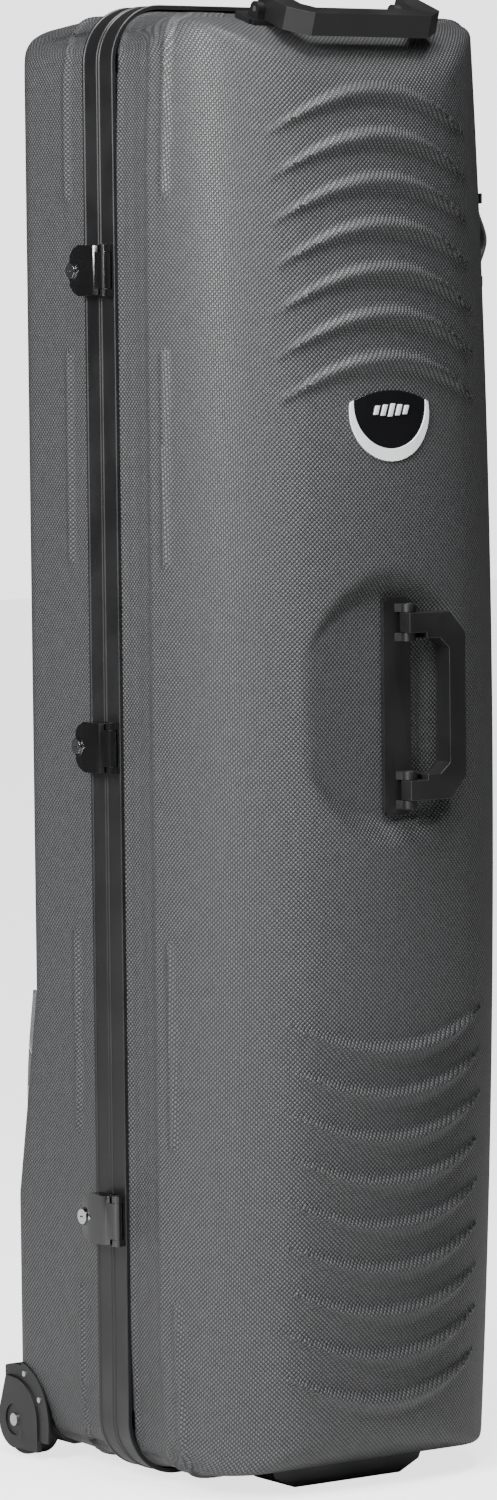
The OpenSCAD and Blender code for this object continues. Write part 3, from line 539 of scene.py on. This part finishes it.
class Nodes:
    """Short calls for making and joining shader nodes in one tree."""

    def __init__(self, tree):
        self.tree = tree

    def add(self, kind, **settings):
        node = self.tree.nodes.new(kind)
        for key, value in settings.items():
            setattr(node, key, value)
        return node

    def join(self, source, target):
        self.tree.links.new(source, target)

    def math(self, operation, first, second=None, clamp=False):
        node = self.add("ShaderNodeMath", operation=operation, use_clamp=clamp)
        for slot, value in enumerate((first, second)):
            if value is None:
                continue
            if isinstance(value, (int, float)):
                node.inputs[slot].default_value = value
            else:
                self.join(value, node.inputs[slot])
        return node.outputs[0]

    def blend(self, share, first, second):
        """First value at a share of 0, second value at a share of 1."""
        step = self.math("MULTIPLY", self.math("SUBTRACT", second, first), share)
        return self.math("ADD", first, step)

    def weigh(self, first, first_weight, second, second_weight, clamp=False):
        """The sum of two values, each times its weight."""
        shares = self.math("MULTIPLY", first, first_weight), self.math("MULTIPLY", second, second_weight)
        return self.math("ADD", *shares, clamp)

    def ramp(self, value, low, high, to_low=0.0, to_high=1.0):
        node = self.add("ShaderNodeMapRange", interpolation_type="SMOOTHSTEP")
        for slot, number in zip(("From Min", "From Max", "To Min", "To Max"), (low, high, to_low, to_high)):
            node.inputs[slot].default_value = number
        self.join(value, node.inputs["Value"])
        return node.outputs[0]


def node_group(name, inputs, outputs):
    """An empty shader group with named sockets: (name, kind, default)."""
    tree = bpy.data.node_groups.new(name, "ShaderNodeTree")
    for label, kind, default in inputs:
        socket = tree.interface.new_socket(label, in_out="INPUT", socket_type=kind)
        if default is not None:
            socket.default_value = default
    for label, kind in outputs:
        tree.interface.new_socket(label, in_out="OUTPUT", socket_type=kind)
    nodes = Nodes(tree)
    return tree, nodes, nodes.add("NodeGroupInput"), nodes.add("NodeGroupOutput")


def pearl_grain():
    """Staggered raised pearls on the UV map: the moulded grain of the shells."""
    tree, n, ins, outs = node_group(
        "pearl_grain",
        [
            ("Vector", "NodeSocketVector", None),
            ("Pitch", "NodeSocketFloat", 0.0024),
            ("Unevenness", "NodeSocketFloat", 0.25),
        ],
        [("Height", "NodeSocketFloat"), ("Pearl", "NodeSocketFloat"), ("Mottle", "NodeSocketFloat")],
    )
    turn = n.add("ShaderNodeVectorRotate", rotation_type="Z_AXIS")
    turn.inputs["Angle"].default_value = math.radians(45)
    n.join(ins.outputs["Vector"], turn.inputs["Vector"])
    cells = n.add("ShaderNodeTexVoronoi", voronoi_dimensions="2D", feature="F1")
    cells.inputs["Randomness"].default_value = 0.0
    n.join(turn.outputs[0], cells.inputs["Vector"])
    n.join(n.math("DIVIDE", 1.0, ins.outputs["Pitch"]), cells.inputs["Scale"])
    pearl = n.ramp(cells.outputs["Distance"], 0.18, 0.56, 1.0, 0.0)
    cloud = n.add("ShaderNodeTexNoise")
    cloud.inputs["Scale"].default_value = 90.0
    cloud.inputs["Detail"].default_value = 3.0
    n.join(ins.outputs["Vector"], cloud.inputs["Vector"])
    uneven = n.math("MULTIPLY", cloud.outputs["Fac"], ins.outputs["Unevenness"])
    n.join(n.math("ADD", pearl, uneven), outs.inputs["Height"])
    n.join(pearl, outs.inputs["Pearl"])
    n.join(cloud.outputs["Fac"], outs.inputs["Mottle"])
    return tree


def fine_surface():
    """Speckle and slow cloudiness on object coordinates, for moulded and metal parts."""
    tree, n, ins, outs = node_group(
        "fine_surface",
        [("Fine Scale", "NodeSocketFloat", 1400.0), ("Cloud Scale", "NodeSocketFloat", 22.0)],
        [("Speckle", "NodeSocketFloat"), ("Cloud", "NodeSocketFloat")],
    )
    where = n.add("ShaderNodeTexCoord")
    for label, scale, detail in (("Speckle", "Fine Scale", 2.0), ("Cloud", "Cloud Scale", 4.0)):
        noise = n.add("ShaderNodeTexNoise")
        noise.inputs["Detail"].default_value = detail
        n.join(where.outputs["Object"], noise.inputs["Vector"])
        n.join(ins.outputs[scale], noise.inputs["Scale"])
        n.join(noise.outputs["Fac"], outs.inputs[label])
    return tree


def painted_edge_highlight():
    """Painted highlight on edges: a mask that makes rounded edges bright, from the angle between the plain and
    the rounded normal.
    """
    tree, n, ins, outs = node_group(
        "painted_edge_highlight", [("Radius", "NodeSocketFloat", 0.0012)], [("Edge", "NodeSocketFloat")]
    )
    rounded = n.add("ShaderNodeBevel", samples=4)
    n.join(ins.outputs["Radius"], rounded.inputs["Radius"])
    plain = n.add("ShaderNodeNewGeometry")
    dot = n.add("ShaderNodeVectorMath", operation="DOT_PRODUCT")
    n.join(rounded.outputs[0], dot.inputs[0])
    n.join(plain.outputs["Normal"], dot.inputs[1])
    n.join(n.ramp(dot.outputs["Value"], 0.80, 0.99, 1.0, 0.0), outs.inputs["Edge"])
    return tree


def webbing_weave():
    """Ribs and crossing threads of woven webbing on the UV map."""
    tree, n, ins, outs = node_group(
        "webbing_weave",
        [("Vector", "NodeSocketVector", None), ("Pitch", "NodeSocketFloat", 0.0018)],
        [("Height", "NodeSocketFloat"), ("Thread", "NodeSocketFloat")],
    )
    apart = n.add("ShaderNodeSeparateXYZ")
    n.join(ins.outputs["Vector"], apart.inputs[0])
    around = n.math("DIVIDE", math.tau, ins.outputs["Pitch"])
    warp = n.math("SINE", n.math("MULTIPLY", apart.outputs["X"], around))
    crimped = n.math("ADD", apart.outputs["Y"], n.math("MULTIPLY", warp, 0.0004))
    weft = n.math("SINE", n.math("MULTIPLY", crimped, around))
    thread = n.math("ADD", n.math("MULTIPLY", n.math("MULTIPLY", warp, weft), 0.5), 0.5)
    n.join(thread, outs.inputs["Thread"])
    n.join(n.math("ADD", thread, n.math("MULTIPLY", n.math("ABSOLUTE", warp), 0.5)), outs.inputs["Height"])
    return tree


def use_group(n, name, **values):
    """Places a shader group and sets its inputs."""
    node = n.add("ShaderNodeGroup", node_tree=bpy.data.node_groups[name])
    for key, value in values.items():
        node.inputs[key.replace("_", " ").title()].default_value = value
    return node


def start_material(name, roughness, metallic=0.0, coat=0.0):
    """A material with a Principled shader, its node helper and the shader."""
    material = bpy.data.materials.new(name)
    material.use_nodes = True
    n = Nodes(material.node_tree)
    shader = material.node_tree.nodes["Principled BSDF"]
    shader.inputs["Roughness"].default_value = roughness
    shader.inputs["Metallic"].default_value = metallic
    shader.inputs["Coat Weight"].default_value = coat
    return material, n, shader


def two_tone(n, factor, low, high):
    """A colour between two, by a factor from 0 to 1."""
    mix = n.add("ShaderNodeMix", data_type="RGBA")
    mix.inputs["A"].default_value = (*low, 1)
    mix.inputs["B"].default_value = (*high, 1)
    n.join(factor, mix.inputs["Factor"])
    return mix.outputs["Result"]


def bump(n, shader, height, distance, strength=1.0):
    """Feeds a height to a shader's normal."""
    node = n.add("ShaderNodeBump")
    node.inputs["Distance"].default_value = distance
    node.inputs["Strength"].default_value = strength
    n.join(height, node.inputs["Height"])
    n.join(node.outputs[0], shader.inputs["Normal"])


def shell_material(colours, sizes):
    """Charcoal sheet with a pearled grain: the pearls are painted lighter than the sheet between them as a
    painted highlight, with a random mottle in the tone.
    """
    material, n, shader = start_material("charcoal_pearl_shell", 0.42)
    uv = n.add("ShaderNodeUVMap", uv_map="surface")
    grain = use_group(n, "pearl_grain", pitch=sizes.grain_pitch)
    n.join(uv.outputs[0], grain.inputs["Vector"])
    base = np.array(colours.shell)
    # Painted highlight: the pearls are coloured lighter than the sheet between them; the mottle adds a random
    # tone.
    pearl_highlight_and_mottle = n.weigh(grain.outputs["Pearl"], 0.75, grain.outputs["Mottle"], 0.25)
    n.join(two_tone(n, pearl_highlight_and_mottle, base * 0.3, base * 2.2), shader.inputs["Base Color"])
    n.join(n.ramp(grain.outputs["Pearl"], 0.0, 1.0, 0.52, 0.36), shader.inputs["Roughness"])
    bump(n, shader, grain.outputs["Height"], 0.0006, 1.0)
    return material


def moulded_material(name, colour, roughness, edge_highlight_weight=0.35, coat=0.0, grain=0.00004):
    """Moulded plastic with a fine speckle, a random cloudy tone and a painted highlight that makes the edges
    lighter.
    """
    material, n, shader = start_material(name, roughness, 0.0, coat)
    shader.inputs["Coat Roughness"].default_value = 0.08
    surface = use_group(n, "fine_surface")
    edge = use_group(n, "painted_edge_highlight")
    base = np.array(colour)
    # Painted highlight: the colour is made lighter on the edges, over a random cloudy tone.
    mix = n.weigh(surface.outputs["Cloud"], 0.4, edge.outputs["Edge"], edge_highlight_weight, True)
    n.join(two_tone(n, mix, base * 0.8, base * 2.2 + 0.004), shader.inputs["Base Color"])
    dull = n.ramp(surface.outputs["Cloud"], 0.3, 0.7, roughness * 0.85, roughness * 1.18)
    n.join(dull, shader.inputs["Roughness"])
    bump(n, shader, surface.outputs["Speckle"], grain)
    return material


def metal_material(name, colour, roughness):
    """Plated metal with a fine speckle in its roughness."""
    material, n, shader = start_material(name, roughness, 1.0)
    surface = use_group(n, "fine_surface", fine_scale=2600.0, cloud_scale=60.0)
    base = np.array(colour)
    tone = two_tone(n, surface.outputs["Cloud"], base * 0.82, np.minimum(base * 1.08, 1))
    n.join(tone, shader.inputs["Base Color"])
    dull = n.ramp(surface.outputs["Speckle"], 0.35, 0.65, roughness * 0.7, roughness * 1.4)
    n.join(dull, shader.inputs["Roughness"])
    bump(n, shader, surface.outputs["Speckle"], 0.00001)
    return material


def fabric_material(name, colour, pitch):
    """Woven webbing with a soft sheen."""
    material, n, shader = start_material(name, 0.85)
    shader.inputs["Sheen Weight"].default_value = 0.3
    uv = n.add("ShaderNodeUVMap", uv_map="surface")
    weave = use_group(n, "webbing_weave", pitch=pitch)
    n.join(uv.outputs[0], weave.inputs["Vector"])
    base = np.array(colour)
    n.join(two_tone(n, weave.outputs["Thread"], base * 0.55, base * 1.7), shader.inputs["Base Color"])
    bump(n, shader, weave.outputs["Height"], 0.0003)
    return material


def quilting():
    """Diagonal stitched lines laid flat on each wall of a half, puffed between the stitches."""
    tree, n, ins, outs = node_group(
        "quilting",
        [("Pitch", "NodeSocketFloat", 0.07)],
        [("Height", "NodeSocketFloat"), ("Stitch", "NodeSocketFloat")],
    )
    where = n.add("ShaderNodeTexCoord")
    apart = n.add("ShaderNodeSeparateXYZ")
    n.join(where.outputs["Object"], apart.inputs[0])
    facing = n.add("ShaderNodeSeparateXYZ")
    n.join(where.outputs["Normal"], facing.inputs[0])
    lean_x, lean_y, lean_z = (n.math("ABSOLUTE", facing.outputs[axis]) for axis in "XYZ")
    on_side = n.math("GREATER_THAN", lean_x, n.math("MAXIMUM", lean_y, lean_z))
    on_end = n.math("GREATER_THAN", lean_z, n.math("MAXIMUM", lean_x, lean_y))
    across = n.blend(on_side, apart.outputs["X"], apart.outputs["Y"])
    along = n.blend(on_end, apart.outputs["Z"], apart.outputs["Y"])
    around = n.math("DIVIDE", math.pi, ins.outputs["Pitch"])
    waves = []
    for operation in ("ADD", "SUBTRACT"):
        slant = n.math(operation, across, along)
        waves.append(n.math("ABSOLUTE", n.math("SINE", n.math("MULTIPLY", slant, around))))
    least = n.math("MINIMUM", *waves)
    n.join(n.math("POWER", n.math("MULTIPLY", *waves), 0.3), outs.inputs["Height"])
    n.join(n.ramp(least, 0.02, 0.07, 1.0, 0.0), outs.inputs["Stitch"])
    return tree


def lining_material(colours, sizes):
    """Quilted brushed lining: a short nap over puffed diamonds with sunk stitches."""
    material, n, shader = start_material("quilted_lining", 0.95)
    shader.inputs["Sheen Weight"].default_value = 0.45
    surface = use_group(n, "fine_surface", fine_scale=900.0, cloud_scale=14.0)
    quilt = use_group(n, "quilting", pitch=sizes.quilt_pitch)
    base = np.array(colours.lining)
    nap = n.weigh(surface.outputs["Cloud"], 0.6, surface.outputs["Speckle"], 0.4)
    tone = n.math("SUBTRACT", nap, n.math("MULTIPLY", quilt.outputs["Stitch"], 0.45), True)
    n.join(two_tone(n, tone, base * 0.5, base * 1.6), shader.inputs["Base Color"])
    height = n.math("ADD", quilt.outputs["Height"], n.math("MULTIPLY", surface.outputs["Speckle"], 0.06))
    bump(n, shader, height, 0.006, 0.8)
    return material


def make_materials(colours, sizes):
    """Builds every material once and returns them by name."""
    for make in (pearl_grain, fine_surface, painted_edge_highlight, webbing_weave, quilting):
        make()
    return {
        "shell": shell_material(colours, sizes),
        "frame": moulded_material("satin_black_frame", colours.trim, 0.42, 0.5),
        "handle": moulded_material("satin_black_handle", colours.trim, 0.42, 0.45),
        "latch": moulded_material("gloss_black_latch", np.array(colours.trim) * 0.55, 0.2, 0.35, 0.6, 0.00001),
        "hub": moulded_material("dark_grey_hub", (0.05, 0.05, 0.054), 0.45),
        "tyre": moulded_material("soft_black_tyre", (0.018, 0.018, 0.019), 0.72, 0.1, 0.0, 0.00012),
        "seal": moulded_material("rubber_seal", (0.02, 0.02, 0.02), 0.6, 0.1),
        "bright_metal": metal_material("plated_steel", (0.56, 0.57, 0.59), 0.3),
        "lock": metal_material("polished_lock", (0.80, 0.81, 0.83), 0.16),
        "badge": moulded_material("gloss_badge", (0.004, 0.004, 0.005), 0.18, 0.1, 0.5, 0.0),
        "badge_trim": moulded_material("silver_badge_trim", colours.badge, 0.28, 0.2, 0.3, 0.00001),
        "webbing": fabric_material("black_webbing", (0.03, 0.03, 0.032), 0.0018),
        "buckle": moulded_material("dull_black_buckle", (0.012, 0.012, 0.012), 0.5, 0.3),
        "lining": lining_material(colours, sizes),
    }


MATERIALS = {}


# ---- Settings -------------------------------------------------------------------------------


class CaseSizes(PropertyGroup):
    """Sizes of the pressed and moulded details."""

    crescent_height: FloatProperty(
        name="Crescent Height",
        description="How far the pressed crescents stand out, in millimetres",
        default=7.0, min=0, max=10,
    )
    rib_height: FloatProperty(
        name="Rib Height",
        description="How far the side ribs stand out, in millimetres",
        default=3.4, min=0, max=5,
    )
    grain_pitch: FloatProperty(
        name="Grain Pitch",
        description="Distance between the pearls of the grain",
        default=0.0029, min=0.001, max=0.005, subtype="DISTANCE", unit="LENGTH",
    )
    quilt_pitch: FloatProperty(
        name="Quilt Pitch",
        description="Distance between the stitched lines of the lining",
        default=0.07, min=0.03, max=0.15, subtype="DISTANCE", unit="LENGTH",
    )
    shell_columns: IntProperty(
        name="Shell Columns",
        description="Cells across each shell",
        default=150, min=20, max=200,
    )
    shell_rows: IntProperty(
        name="Shell Rows",
        description="Cells up each shell",
        default=470, min=40, max=480,
    )


class CaseColours(PropertyGroup):
    """Colours of the finishes."""

    shell: FloatVectorProperty(
        name="Shell",
        description="Colour of the moulded shells",
        subtype="COLOR", size=3, default=(0.036, 0.0365, 0.038),
    )
    trim: FloatVectorProperty(
        name="Trim",
        description="Colour of the frame and handles",
        subtype="COLOR", size=3, default=(0.006, 0.006, 0.0065),
    )
    lining: FloatVectorProperty(
        name="Lining",
        description="Colour of the brushed lining",
        subtype="COLOR", size=3, default=(0.05, 0.05, 0.055),
    )
    badge: FloatVectorProperty(
        name="Badge Trim",
        description="Colour of the badge's rim and mark",
        subtype="COLOR", size=3, default=(0.72, 0.73, 0.75),
    )


# ---- Operators ---------------------------------------------------------------------------------


class CASE_OT_stage(Operator):
    """Floor, lights, world and camera."""

    bl_idname = "case.stage"
    bl_label = "Stage"

    def execute(self, context):
        scene = context.scene
        bm = bmesh.new()
        bmesh.ops.create_grid(bm, x_segments=2, y_segments=2, size=14)
        mesh = bpy.data.meshes.new("floor")
        bm.to_mesh(mesh)
        bm.free()
        floor = bpy.data.objects.new("floor", mesh)
        scene.collection.objects.link(floor)
        material, n, shader = start_material("pale_floor", 0.75)
        shader.inputs["Base Color"].default_value = (0.82, 0.82, 0.82, 1)
        shader.inputs["Emission Color"].default_value = (1, 1, 1, 1)
        seen = n.add("ShaderNodeLightPath").outputs["Is Camera Ray"]
        n.join(n.ramp(seen, 0, 1, 0.0, 2.2), shader.inputs["Emission Strength"])
        mesh.materials.append(material)

        world = bpy.data.worlds.new("studio")
        scene.world = world
        world.use_nodes = True
        n = Nodes(world.node_tree)
        background = world.node_tree.nodes["Background"]
        background.inputs["Color"].default_value = (1, 1, 1, 1)
        seen = n.add("ShaderNodeLightPath").outputs["Is Camera Ray"]
        n.join(n.ramp(seen, 0, 1, 0.06, 2.6), background.inputs["Strength"])

        # Each light: name, place, target, width, height and power in watts.
        lights = (
            ("key", (-2.45, -0.95, 1.9), (0.0, 0.0, 0.9), 0.6, 1.3, 160),
            ("overhead", (-0.2, -0.7, 2.9), (-0.05, -0.1, 0.9), 1.3, 0.7, 66),
            ("lower_front", (-0.7, -1.2, 2.1), (0.0, -0.2, 0.3), 0.5, 0.5, 10),
            ("left", (-3.2, 0.5, 1.5), (-0.1, 0.1, 0.6), 0.8, 1.6, 8),
        )
        for name, place, target, width, height, power in lights:
            data = bpy.data.lights.new(name, "AREA")
            data.shape = "RECTANGLE"
            data.size, data.size_y = width, height
            data.energy = power
            light = bpy.data.objects.new(name, data)
            light.location = place
            light.rotation_euler = (Vector(target) - Vector(place)).to_track_quat("-Z", "Y").to_euler()
            scene.collection.objects.link(light)

        data = bpy.data.cameras.new("camera")
        data.sensor_width = 36.0
        data.lens = 140.64
        data.clip_end = 100
        camera = bpy.data.objects.new("camera", data)
        heading, tip, roll = math.radians(34.57), math.radians(4.17), math.radians(-0.62)
        forward = Vector((math.sin(heading) * math.cos(tip), math.cos(heading) * math.cos(tip), -math.sin(tip)))
        turn = forward.to_track_quat("-Z", "Y").to_matrix() @ Matrix.Rotation(roll, 3, "Z")
        camera.matrix_world = Matrix.Translation((-2.925, -4.209, 1.005)) @ turn.to_4x4()
        scene.collection.objects.link(camera)
        scene.camera = camera
        return {"FINISHED"}


class CASE_OT_lid_shell(Operator):
    """Front shell with its crescents, dish, ribs and edge step."""

    bl_idname = "case.lid_shell"
    bl_label = "Front Shell"

    def execute(self, context):
        flank = arc(FLANK_X, FLANK_F, FLANK_R, 0, FLANK_END)
        crown = arc(0, LID_DEPTH - CROWN_R, CROWN_R, FLANK_END, math.pi / 2)
        half = [(SHELL_HALF, SHELL_EDGE)] + flank + crown[1:]
        chin_z, brow_z = SHELL_LOW + 8 + CHIN_R, SHELL_HIGH - 9 - BROW_R
        profile = (
            [(SHELL_EDGE, SHELL_LOW)]
            + arc(CHIN_F, chin_z, CHIN_R, -math.pi / 2, 0)
            + [(LID_DEPTH - float(dome_fall(z)), z) for z in np.linspace(chin_z, brow_z, 30)[1:-1]]
            + arc(BROW_F, brow_z, BROW_R, 0, math.pi / 2)
            + [(SHELL_EDGE, SHELL_HIGH)]
        )
        mesh = shell_mesh("front_shell", half, profile, LID_DEPTH, -1, lid_field, lid_relief)
        add_piece("front_shell", mesh, "lid", MATERIALS["shell"], ["lid_shell"], 60)
        return {"FINISHED"}


class CASE_OT_rear_shell(Operator):
    """Rear shell with its wheel bulge, wheel notches and ribs."""

    bl_idname = "case.rear_shell"
    bl_label = "Rear Shell"

    def execute(self, context):
        corner = arc(SHELL_HALF - BACK_R, REAR_DEPTH - BACK_R, BACK_R, 0, math.pi / 2)
        half = [(SHELL_HALF, SHELL_EDGE)] + corner + [(0, REAR_DEPTH)]
        heel_z, crest_z = SHELL_LOW + 10 + HEEL_R, SHELL_HIGH - 12 - CREST_R
        profile = (
            [(SHELL_EDGE, SHELL_LOW)]
            + arc(REAR_DEPTH + BULGE - HEEL_R, heel_z, HEEL_R, -math.pi / 2, 0)
            + [(float(rear_depth(z)), z) for z in np.linspace(heel_z, crest_z, 60)[1:-1]]
            + arc(REAR_DEPTH - CREST_R, crest_z, CREST_R, 0, math.pi / 2)
            + [(SHELL_EDGE, SHELL_HIGH)]
        )
        mesh = shell_mesh("back_shell", half, profile, REAR_DEPTH, 1, rear_field, rear_relief)
        add_piece("back_shell", mesh, "base", MATERIALS["shell"], ["rear_shell"], 60)
        return {"FINISHED"}


class CASE_OT_frame(Operator):
    """The two frame rails with their beads, tongue and groove."""

    bl_idname = "case.frame"
    bl_label = "Frame Rails"

    def execute(self, context):
        # Sections as (distance from the parting plane, distance outwards from the frame's outline).
        outer_bead = [(0.4, -0.8), (1.0, -0.1), (2.6, -0.1), (3.3, -0.9)]
        inner_bead = [(20.2, -0.9), (20.9, -0.1), (22.8, -0.1), (23.4, -0.8)]
        face = outer_bead + inner_bead
        slot = [(23.4, -3.9), (12.0, -3.9), (12.0, -7.1), (23.4, -7.1)]
        channel = slot + [(23.4, -10.4), (22.9, -10.9), (0.9, -10.9), (0.3, -10.3)]
        tongue = [(0.3, -7.4), (-3.4, -7.3), (-3.9, -6.9), (-3.9, -5.9), (-3.4, -5.5), (0.3, -5.4)]
        mesh = sweep_ring("front_rail", face + channel + tongue)
        add_piece("front_rail", mesh, "lid", MATERIALS["frame"], ["lid_rail"], 30)
        groove = [(0.3, -8.2), (6.3, -8.2), (6.3, -4.6), (0.3, -4.6)]
        section = [(-f, o) for f, o in face + channel + groove]
        mesh = sweep_ring("back_rail", section)
        add_piece("back_rail", mesh, "base", MATERIALS["frame"], ["rear_rail"], 30)
        return {"FINISHED"}


class CASE_OT_latches(Operator):
    """Latch levers, plates, keepers and locks."""

    bl_idname = "case.latches"
    bl_label = "Latches"

    def execute(self, context):
        for place in PLACES:
            dress("latch_lever_" + place, "lever_" + place, MATERIALS["latch"], 1.3, 3)
            dress("lock_cylinder_" + place, "lock_" + place, MATERIALS["lock"], 0.35, 2)
            dress("lock_marker_" + place, "lever_" + place, MATERIALS["lock"], 0.15, 1)
        dress("latch_plates", "lid", MATERIALS["latch"], 0.5, 2)
        dress("latch_keepers", "base", MATERIALS["latch"], 0.4, 2)
        return {"FINISHED"}


class CASE_OT_handles(Operator):
    """Front and top handles: plates and folding bails."""

    bl_idname = "case.handles"
    bl_label = "Handles"

    def execute(self, context):
        for place in ("front", "top"):
            dress(place + "_handle_base", "lid", MATERIALS["handle"], 1.2, 3)
            dress(place + "_handle_bail", place + "_bail", MATERIALS["handle"], 2.6, 4)
        return {"FINISHED"}


class CASE_OT_wheels(Operator):
    """Wheels, their housings and the front foot."""

    bl_idname = "case.wheels"
    bl_label = "Wheels and Foot"

    def execute(self, context):
        for side in ("left", "right"):
            dress("wheel_housing_" + side, "base", MATERIALS["handle"], 1.2, 3)
            dress("wheel_hub_" + side, "wheel_" + side, MATERIALS["hub"], 0.6, 2)
        dress("front_foot", "lid", MATERIALS["handle"], 1.6, 3)
        return {"FINISHED"}


class CASE_OT_badge(Operator):
    """Badge plate, its crescent rim and a plain mark of slanted bars."""

    bl_idname = "case.badge"
    bl_label = "Badge"

    def execute(self, context):
        dress("badge_plate", "lid", MATERIALS["badge"], 0.3, 2)
        dress("badge_ring", "lid", MATERIALS["badge_trim"], 0.5, 2)
        low, high = (np.array(corner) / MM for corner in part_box("badge_plate"))
        centre = (low[2] + high[2]) / 2 + MARK_ABOVE
        lean = Matrix.Identity(3)
        lean[0][2] = BAR_LEAN
        width, thick, tallest = BAR_SIZE
        bm = bmesh.new()
        for i in range(BARS):
            offset = i - BARS // 2
            bar = bmesh.ops.create_cube(bm, size=1.0)["verts"]
            bmesh.ops.scale(bm, verts=bar, vec=(width, thick, tallest - BAR_SHORTER * abs(offset)))
            bmesh.ops.transform(bm, verts=bar, matrix=lean.to_4x4())
            x = offset * BAR_PITCH
            sink = CROWN_R - math.sqrt(CROWN_R ** 2 - x ** 2) + float(dome_fall(centre))
            bmesh.ops.translate(bm, verts=bar, vec=(x, PARTING - LID_DEPTH + sink - BAR_PROUD, centre))
        bmesh.ops.bevel(bm, geom=bm.edges[:], offset=0.35, affect="EDGES", segments=2, profile=0.5, material=-1)
        bmesh.ops.scale(bm, verts=bm.verts, vec=(MM, MM, MM))
        mesh = bpy.data.meshes.new("badge_mark")
        bm.to_mesh(mesh)
        bm.free()
        add_piece("badge_mark", mesh, "lid", MATERIALS["badge_trim"])
        return {"FINISHED"}


class CASE_OT_webbing(Operator):
    """Pull strap on the side and the two tie straps inside, with their buckles."""

    bl_idname = "case.webbing"
    bl_label = "Webbing"

    def execute(self, context):
        low, high = (np.array(corner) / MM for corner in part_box("strap_clamps"))
        out = np.array([math.cos(STRAP_TURN), -math.sin(STRAP_TURN), 0])
        over = np.array([math.sin(STRAP_TURN), math.cos(STRAP_TURN), 0])
        front = PARTING - FLANK_F + float(dome_fall(STRAP_HEIGHT))
        base = np.array([FLANK_X, front, (low[2] + high[2]) / 2]) + FLANK_R * out
        path = []
        for step in np.linspace(-1, 1, 41):
            bow = STRAP_GAP + STRAP_BOW * float(1 - smooth_step(0.0, 0.78, abs(step)))
            path.append(base + out * bow + np.array([0, 0, STRAP_HALF * step]))
        mesh = band("pull_strap", path, over * STRAP_WIDTH, -STRAP_THICK)
        add_piece("pull_strap", mesh, "lid", MATERIALS["webbing"], ["side_strap"], 50)
        low, high = (np.array(corner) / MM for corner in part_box("tie_straps"))
        heights = low[2] + TIE_WIDTH / 2, high[2] - TIE_WIDTH / 2
        for number, height in enumerate(heights, 1):
            path = []
            for x in np.linspace(low[0], high[0], 90):
                path.append((x, high[1] - TIE_GAP - TIE_WAVE * math.cos(x * TIE_WAVES), height))
            mesh = band("tie_strap", path, (0, 0, TIE_WIDTH), TIE_THICK)
            replaced = ["tie_straps"] if number == 1 else ()
            add_piece("tie_strap_%d" % number, mesh, "base", MATERIALS["webbing"], replaced, 50)
        dress("tie_buckles", "base", MATERIALS["buckle"], 2.2, 3)
        return {"FINISHED"}


class CASE_OT_linings(Operator):
    """Quilted linings in both halves."""

    bl_idname = "case.linings"
    bl_label = "Linings"

    def execute(self, context):
        for node, body in (("rear_lining", "base"), ("lid_lining", "lid")):
            piece = dress(node, body, MATERIALS["lining"], 1.5, 2, 50)
            middle = Matrix.Translation((0, 0, MID * MM))
            piece.data.transform(middle @ Matrix.Diagonal(LINING_SHARES) @ middle.inverted())
        return {"FINISHED"}


class CASE_OT_carried_parts(Operator):
    """Materials for the frame's own parts, by their slots."""

    bl_idname = "case.carried_parts"
    bl_label = "Carried Parts"

    def execute(self, context):
        slots = {part["node"]: part["material_slot"] for part in frame["record"]["subparts"]}
        for name, node in frame["nodes"].items():
            node.data.materials.clear()
            finish = slots[name] if slots[name] in MATERIALS else "handle"
            node.data.materials.append(MATERIALS[finish])
        return {"FINISHED"}


OPERATORS = (
    CASE_OT_stage,
    CASE_OT_lid_shell,
    CASE_OT_rear_shell,
    CASE_OT_frame,
    CASE_OT_latches,
    CASE_OT_handles,
    CASE_OT_wheels,
    CASE_OT_badge,
    CASE_OT_webbing,
    CASE_OT_linings,
    CASE_OT_carried_parts,
)


class CASE_PT_build(Panel):
    """Lists the settings and the pieces of the case."""

    bl_label = "Hard Case"
    bl_idname = "CASE_PT_build"
    bl_space_type = "VIEW_3D"
    bl_region_type = "UI"
    bl_category = "Hard Case"

    def draw(self, context):
        for settings in (context.scene.case_sizes, context.scene.case_colours):
            for key in settings.bl_rna.properties.keys():
                if key not in ("rna_type", "name"):
                    self.layout.prop(settings, key)
        for operator in OPERATORS:
            self.layout.operator(operator.bl_idname)


CLASSES = (CaseSizes, CaseColours, *OPERATORS, CASE_PT_build)


def register():
    for each in CLASSES:
        bpy.utils.register_class(each)
    bpy.types.Scene.case_sizes = PointerProperty(type=CaseSizes)
    bpy.types.Scene.case_colours = PointerProperty(type=CaseColours)


def unregister():
    del bpy.types.Scene.case_sizes
    del bpy.types.Scene.case_colours
    for each in reversed(CLASSES):
        bpy.utils.unregister_class(each)


def main():
    """Builds the whole case."""
    register()
    scene = bpy.context.scene
    MATERIALS.update(make_materials(scene.case_colours, scene.case_sizes))
    for operator in OPERATORS:
        group, name = operator.bl_idname.split(".")
        getattr(getattr(bpy.ops, group), name)()


if __name__ == "__main__":
    main()
